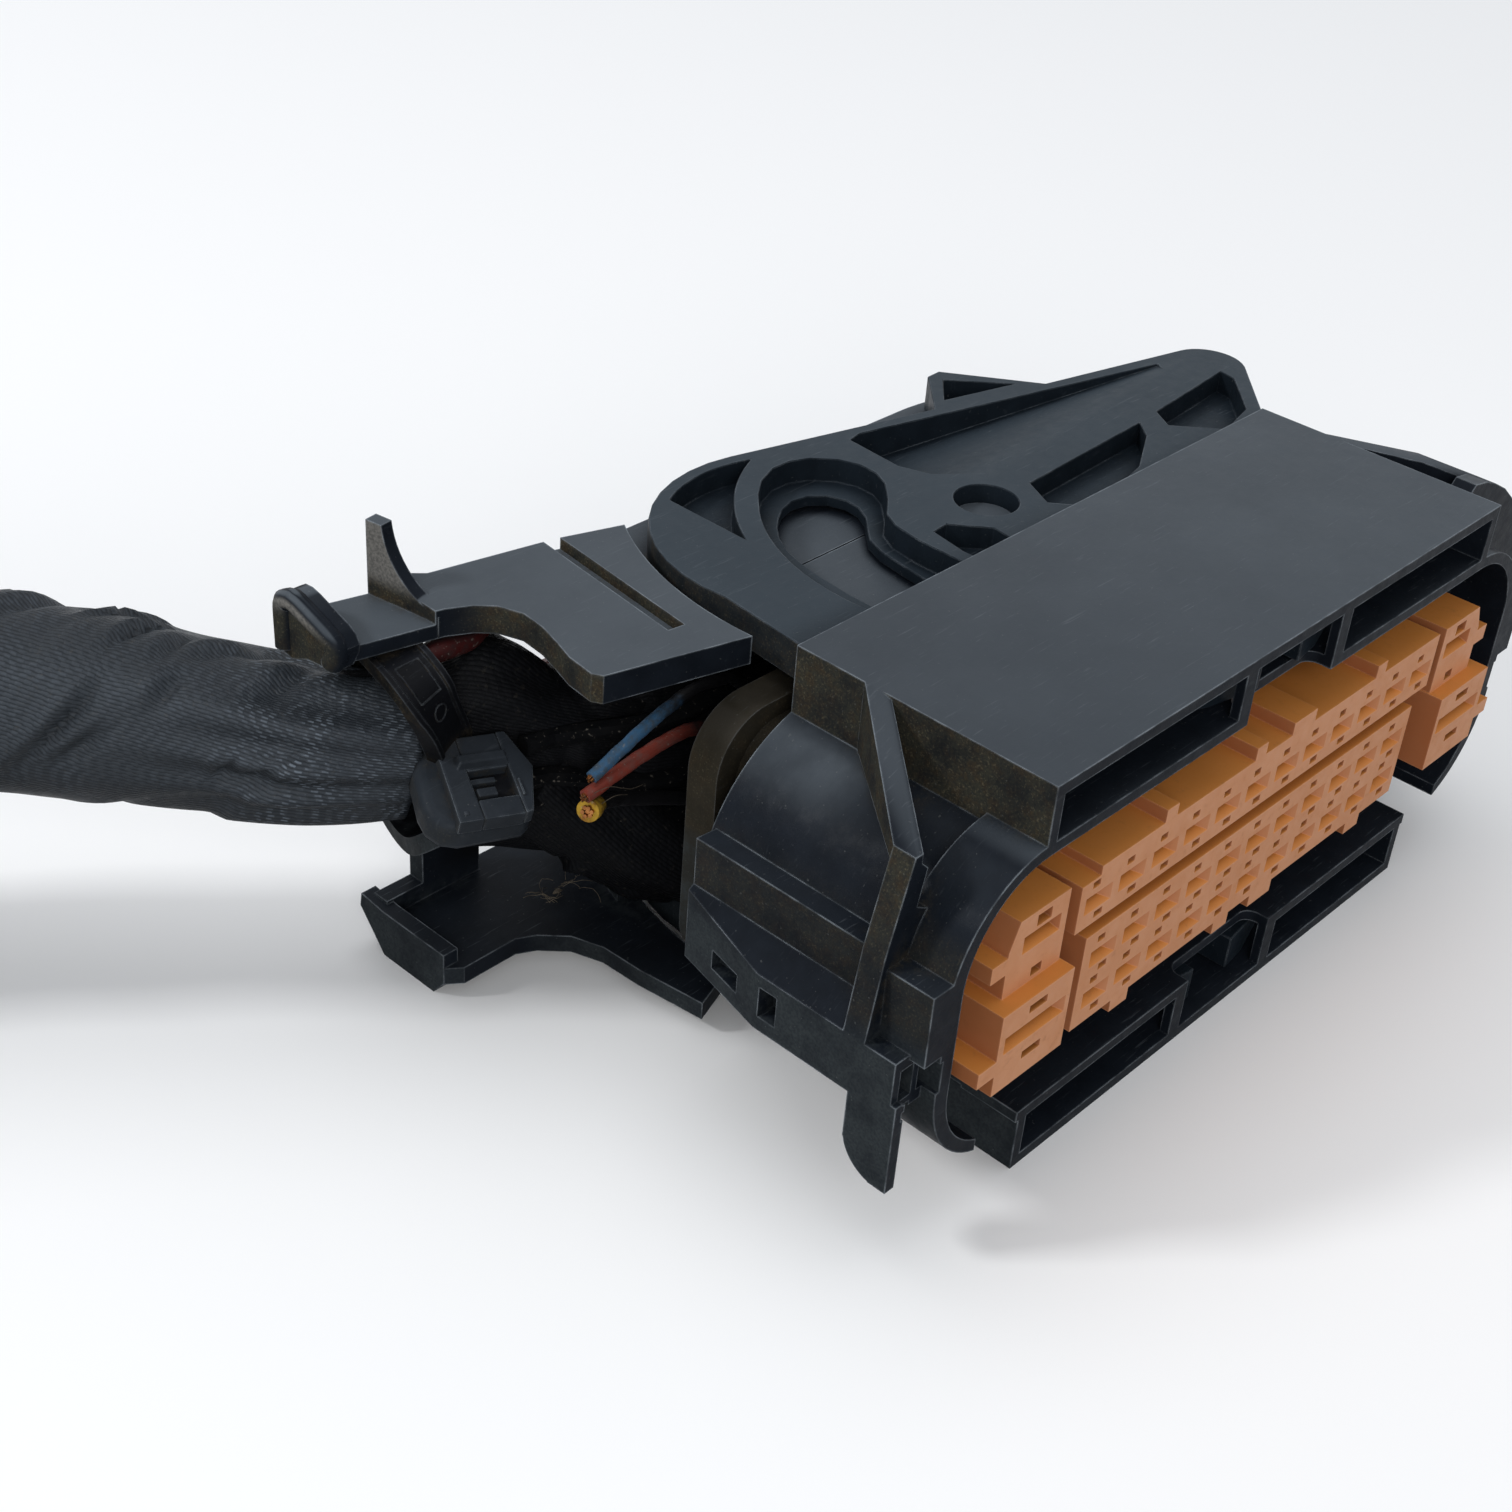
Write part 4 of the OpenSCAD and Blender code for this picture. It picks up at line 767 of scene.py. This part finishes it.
WINDOW_X, WINDOW_Y = (-0.5, 1.45), (-0.5, 1.15)
PLATE_T, BASE_T, SUNK = 0.6, 2.3, 0.1
PLATE_FOOT, TOOTH_FOOT, TAIL_Z = -PLATE_T - 0.3, -PLATE_T - 0.2, (-PLATE_T - 0.1, -PLATE_T + 0.08)
BASE = [
    (-2.0, 3.8), (-2.7, 2.2), (-2.9, 0.2), (-2.8, -0.6), (-2.3, -1.3), (-1.5, -1.6), (1.6, -1.5), (2.2, -1.1),
    (2.3, 3.4), (1.4, 3.9)]
PLATES = [
    [(-1.55, 3.0), (-1.7, -1.6), (WINDOW_X[0], -1.6), (WINDOW_X[0], 3.1)],
    [(WINDOW_X[1], 3.2), (WINDOW_X[1], -1.55), (1.85, -1.5), (2.6, 1.0), (1.9, 3.2)],
    block(*WINDOW_X, -1.6, WINDOW_Y[0]),
    block(*WINDOW_X, WINDOW_Y[1], 3.15)]

# The pawl's bar, its two teeth in the window, a nib and a dot: outline, foot, top and inset
PAWL = [
    (block(-1.0, 1.6, 1.25, 2.1), -SUNK, 0.3, 0.2),
    (block(WINDOW_X[0], 0.7, -0.4, 0.35), TOOTH_FOOT, -0.1, 0.15),
    (block(WINDOW_X[0], 0.8, 0.55, 0.95), TOOTH_FOOT, -0.3, 0.05),
    (block(1.55, 1.75, -0.65, 0.35), -SUNK, 0.14, 0.03),
    (block(-1.4, -1.1, -1.3, -1.0), -SUNK, 0.08, 0.05)]
bm = bmesh.new()
slab(bm, BASE, -BASE_T, -PLATE_T, inset=0.15)
bevelled(piece("tie_base", bm, "tie_nylon", sharp_over=40), width=0.5, segments=4)
bm = bmesh.new()
for outline in PLATES:
    slab(bm, outline, PLATE_FOOT, 0)
bevelled(piece("tie_head", bm, "tie_nylon", smooth=False), width=0.1)
bm = bmesh.new()
slab(bm, block(*WINDOW_X, *WINDOW_Y), *TAIL_Z)
piece("tie_tail", bm, "strap_nylon", smooth=False)
bm = bmesh.new()
for outline, foot, top, inset in PAWL:
    slab(bm, outline, foot, top, inset)
bevelled(piece("tie_pawl", bm, "tie_nylon", smooth=False), width=0.1, segments=3)

# Strap of the cable tie: out of the head, round the loom under the tab, and back into the head from below
TIE_C = Vector((-28.6, 29.15, 2.5))
TIE_TURN = math.radians(-26)
TIE_A = Vector((math.cos(TIE_TURN), math.sin(TIE_TURN), 0))
TIE_H = Vector((-TIE_A.y, TIE_A.x, 0))


def on_tie(h, z, a):
    """A place by the strap's loop: h and z across the loom, a along it."""
    return TIE_C + TIE_H * h + Vector((0, 0, z)) + TIE_A * a


STRAP_W, STRAP_T, STRAP_STEP = 2.5, 0.9, 0.3
STRAP_ROUTE = [
    on_head(-0.4, 1.8, -1.8), on_head(-0.45, 3.1, -1.0), on_tie(-3.1, 4.3, 0.75), on_tie(-2.3, 5.4, 0.1),
    on_tie(-0.6, 5.6, -0.4), on_tie(1.4, 5.5, -0.8), on_tie(3.2, 4.2, -0.9), on_tie(4.25, 1.8, -0.7),
    on_tie(4.3, -0.9, -0.4), on_tie(3.1, -3.1, 0), on_tie(0.9, -4.25, 0.5), on_tie(-1.5, -4.15, 0.9),
    on_tie(-3.4, -2.9, 1.2), on_head(-0.3, 0.3, -2.9), on_head(-0.2, 0.2, -1.6)]
STRAP_MID = on_tie(0, 0.6, 0.2)

# Section of the strap in halves of its width and thickness, with a rail along each side of its outer face
RAIL_OUT, RAIL_IN, BED = 0.78, 0.72, 0.72
PROFILE = [
    (-1, -1), (-0.55, -1), (0.55, -1), (1, -1), (1, 0), (1, 1), (RAIL_OUT, 1), (RAIL_IN, BED),
    (-RAIL_IN, BED), (-RAIL_OUT, 1), (-1, 1), (-1, 0)]
strap_line = spline(STRAP_ROUTE, STRAP_STEP)
strap_run = lengths(strap_line)
strap_frames = []
for i, p in enumerate(strap_line):
    t = tangent(strap_line, i)
    out = p - STRAP_MID
    out = (out - t * out.dot(t)).normalized()
    strap_frames.append((p, out, t.cross(out)))
bm = bmesh.new()
skin(bm, [[bm.verts.new(p + wide * (u * STRAP_W / 2) + out * (w * STRAP_T / 2)) for u, w in PROFILE]
          for p, out, wide in strap_frames])
tie_strap = piece("tie_strap", bm, "strap_nylon", sharp_over=40)
bevelled(tie_strap, width=0.1)
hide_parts("cable_tie")

# Moulded marks on the strap: a frame and a ring
FRAME_AT, FRAME_L, FRAME_W = 6.95, 0.8, 0.6
RING_AT, RING_R, RING_STEPS = 5.2, 0.42, 20
MARK, MARK_SIDES = 0.06, 6
marks = bmesh.new()


def on_strap(s, across):
    """A place on the strap's outer face between the rails, s along it from the head."""
    k = max(i for i in range(len(strap_run) - 1) if strap_run[i] <= s)
    share = (s - strap_run[k]) / (strap_run[k + 1] - strap_run[k])
    p, out, wide = (a.lerp(b, share) for a, b in zip(strap_frames[k], strap_frames[k + 1]))
    return p + wide * across + out * (BED * STRAP_T / 2)


def mark(places):
    """A raised line through places on the strap."""
    loft(marks, [on_strap(s, across) for s, across in places], even(MARK), MARK_SIDES)


for side in (-1, 1):
    steps = [FRAME_AT + FRAME_L * (k / 2 - 1) for k in range(5)]
    for start, end in zip(steps, steps[1:]):
        mark([(start, side * FRAME_W), (end, side * FRAME_W)])
    mark([(FRAME_AT + side * FRAME_L, -FRAME_W), (FRAME_AT + side * FRAME_L, FRAME_W)])
mark([(RING_AT + RING_R * math.cos(TURN * k / RING_STEPS), RING_R * math.sin(TURN * k / RING_STEPS))
      for k in range(RING_STEPS + 1)])
piece("tie_marks", marks, "strap_nylon", sharp_over=60)

# Rolled rim of the cover's end flange, in y and z
RIM_X, RIM_R, RIM_STEP, RIM_SIDES = -32.4, 0.52, 0.25, 16
RIM = [
    (32.2, 8.2), (32.2, 10.3), (31.95, 10.65), (31.6, 10.8), (31.2, 10.8), (28.95, 10.05), (28.6, 9.75),
    (28.55, 9.4), (28.9, 8.8)]
bm = bmesh.new()
loft(bm, spline([(RIM_X, y, z) for y, z in RIM], RIM_STEP), even(RIM_R), RIM_SIDES)
piece("flange_rim", bm, "black_nylon", sharp_over=50)

# Loose fibres and a grain of grit caught in the tray and round the cut wires
TRAY_Z = -9.05
FIBRES, FIBRE_X, FIBRE_Y = 14, (-21.8, -18.2), (26.4, 27.6)
FIBRE_R, FIBRE_SIDES, FIBRE_POINTS = 0.014, 5, 9
FIBRE_STEP, FIBRE_BEND, FIBRE_ARCH = (0.16, 0.26), (-0.36, 0.36), (0.6, 1.0)
FIBRE_LIFT, FIBRE_FOOT, FIBRE_SMOOTH = 0.35, 0.03, 0.1
HAIRS = [
    [(-24.3, 20.75, 2.35), (-23.7, 20.3, 2.7), (-22.9, 20.2, 2.3), (-22.2, 20.3, 1.9), (-21.4, 20.4, 1.7)],
    [(-24.5, 20.8, 2.0), (-24.9, 20.5, 2.5), (-25.2, 20.4, 2.9)],
    [(-23.9, 20.75, 1.5), (-23.2, 20.4, 1.9), (-22.3, 20.5, 1.5)]]
GRIT = [(-20.75, 27.05, TRAY_Z + 0.1), (-20.5, 26.95, TRAY_Z + 0.22), (-20.2, 26.9, TRAY_Z + 0.15)]
GRIT_L, GRIT_R, GRIT_TIP, GRIT_STEP, GRIT_SIDES = 0.57, 0.11, 0.02, 0.06, 8


def lint():
    """The route of one curled fibre on the tray."""
    at = Vector((rng.uniform(*FIBRE_X), rng.uniform(*FIBRE_Y), TRAY_Z))
    turn, bend = rng.uniform(*ANY_ANGLE), rng.uniform(*FIBRE_BEND)
    route = []
    for n in range(FIBRE_POINTS):
        arch = FIBRE_LIFT * math.sin(math.pi * n / (FIBRE_POINTS - 1))
        route.append(at + Vector((0, 0, FIBRE_FOOT + arch * rng.uniform(*FIBRE_ARCH))))
        at = at + Vector((math.cos(turn), math.sin(turn), 0)) * rng.uniform(*FIBRE_STEP)
        turn += bend
    return route


def grit_radius(s, ang):
    """Half thickness of the grain, thin at both ends."""
    return GRIT_TIP + GRIT_R * math.sin(math.pi * min(1, s / GRIT_L))


fibres = bmesh.new()
for route in [lint() for _ in range(FIBRES)] + HAIRS:
    loft(fibres, spline(route, FIBRE_SMOOTH), even(FIBRE_R), FIBRE_SIDES)
loft(fibres, spline(GRIT, GRIT_STEP), grit_radius, GRIT_SIDES)
piece("loose_fibres", fibres, "fibre", sharp_over=60)

# Soft edges on the moulded pieces that are shown as they are: the width of each one's bevel
SOFT_EDGES = {"shell": 0.14, "lever": 0.2, "wire_cover": 0.25, "contact_carrier": 0.14, "seal_retainer": 0.3}
WELD, FLAT_BELOW, BEVEL_ABOVE, SMOOTH_BELOW = 0.002, 1.5, 32, 33


def smooth_nodes(limit):
    """Node group that shades faces as one surface where they meet at less than limit degrees."""
    tree = bpy.data.node_groups.new("smooth", "GeometryNodeTree")
    tree.interface.new_socket("Geometry", in_out="INPUT", socket_type="NodeSocketGeometry")
    tree.interface.new_socket("Geometry", in_out="OUTPUT", socket_type="NodeSocketGeometry")
    start = tree.nodes.new("NodeGroupInput")
    end = tree.nodes.new("NodeGroupOutput")
    faces = tree.nodes.new("GeometryNodeSetShadeSmooth")
    edges = tree.nodes.new("GeometryNodeSetShadeSmooth")
    edges.domain = "EDGE"
    angle = tree.nodes.new("GeometryNodeInputMeshEdgeAngle")
    flat = tree.nodes.new("FunctionNodeCompare")
    flat.data_type = "FLOAT"
    flat.operation = "LESS_EQUAL"
    flat.inputs[1].default_value = math.radians(limit)
    tree.links.new(angle.outputs["Unsigned Angle"], flat.inputs[0])
    tree.links.new(flat.outputs[0], edges.inputs["Shade Smooth"])
    tree.links.new(start.outputs[0], faces.inputs["Geometry"])
    tree.links.new(faces.outputs[0], edges.inputs["Geometry"])
    tree.links.new(edges.outputs[0], end.inputs[0])
    return tree


def soften(obj, width, shading):
    """Rounds the edges of a CAD node's object with modifiers, which leave its mesh as it is."""
    weld = obj.modifiers.new("weld", "WELD")
    weld.merge_threshold = WELD * MM
    flat = obj.modifiers.new("flat", "DECIMATE")
    flat.decimate_type = "DISSOLVE"
    flat.angle_limit = math.radians(FLAT_BELOW)
    bevelled(obj, width, segments=3, angle=BEVEL_ABOVE)
    shade = obj.modifiers.new("shade", "NODES")
    shade.node_group = shading
    normals = obj.modifiers.new("normals", "WEIGHTED_NORMAL")
    normals.keep_sharp = True


shading = smooth_nodes(SMOOTH_BELOW)
for name, width in SOFT_EDGES.items():
    soften(nodes[name], width, shading)

# Floor and world: pale where they are seen or reflected, and darker in the light that they give. In metres.
FLOOR_PALE, FLOOR_PALER, FLOOR_GIVES = (0.94, 0.94, 0.94, 1), (0.95, 0.95, 0.95, 1), (0.3, 0.3, 0.3, 1)
WORLD_SEEN, WORLD_GIVES = (0.93, 0.93, 0.93, 1), (0.4, 0.415, 0.44, 1)
FLOOR_SIZE = 1.5


def seen_or_reflected(tree):
    """1 for rays from the camera, from gloss and through glass, 0 for the rest."""
    path = tree.nodes.new("ShaderNodeLightPath")
    seen = path.outputs["Is Camera Ray"]
    for ray in ("Is Glossy Ray", "Is Transmission Ray"):
        either = tree.nodes.new("ShaderNodeMath")
        either.operation = "MAXIMUM"
        tree.links.new(seen, either.inputs[0])
        tree.links.new(path.outputs[ray], either.inputs[1])
        seen = either.outputs[0]
    return seen


def floor_material():
    """Matt pale board."""
    p = Paint("floor", Specular_IOR_Level=0.0, Roughness=1.0)
    tone = p.mix(p.noise(0.004, 2.0), FLOOR_PALE, FLOOR_PALER)
    colour = p.mix(seen_or_reflected(p.tree), FLOOR_GIVES, tone)
    p.tree.links.new(colour, p.bsdf.inputs["Base Color"])
    return p.mat


bm = bmesh.new()
bmesh.ops.create_grid(bm, x_segments=8, y_segments=8, size=FLOOR_SIZE)
mesh = bpy.data.meshes.new("floor")
bm.to_mesh(mesh)
bm.free()
floor = bpy.data.objects.new("floor", mesh)
floor.location = (0, 0, FLOOR_Z * MM)
scene.collection.objects.link(floor)
floor.data.materials.append(floor_material())

world = bpy.data.worlds.new("studio")
scene.world = world
world.use_nodes = True
tree = world.node_tree
background = tree.nodes["Background"]
mix = tree.nodes.new("ShaderNodeMix")
mix.data_type = "RGBA"
mix.inputs[6].default_value = WORLD_GIVES
mix.inputs[7].default_value = WORLD_SEEN
tree.links.new(seen_or_reflected(tree), mix.inputs[0])
tree.links.new(mix.outputs[2], background.inputs["Color"])
background.inputs["Strength"].default_value = 1.0

# Lamps, in metres and watts
COOL, WARM = (0.98, 0.99, 1.0), (1.0, 0.995, 0.98)


def area(name, place, target, size, watts, tint):
    """A square lamp that looks at the target."""
    data = bpy.data.lights.new(name, "AREA")
    data.shape = "SQUARE"
    data.size = size
    data.energy = watts
    data.color = tint
    obj = bpy.data.objects.new(name, data)
    scene.collection.objects.link(obj)
    obj.location = place
    obj.rotation_euler = (Vector(target) - Vector(place)).to_track_quat("-Z", "Y").to_euler()


area("top", (0.1, 0.2, 1.1), target=(-0.01, 0.02, 0), size=1.0, watts=4.2, tint=COOL)
area("front", (-0.45, -0.45, 0.35), target=(-0.01, 0.01, 0), size=0.35, watts=1.9, tint=WARM)
area("left", (-0.33, 0.25, 0.33), target=(-0.02, 0.01, 0), size=0.07, watts=0.9, tint=COOL)

scene.view_settings.view_transform = "Standard"
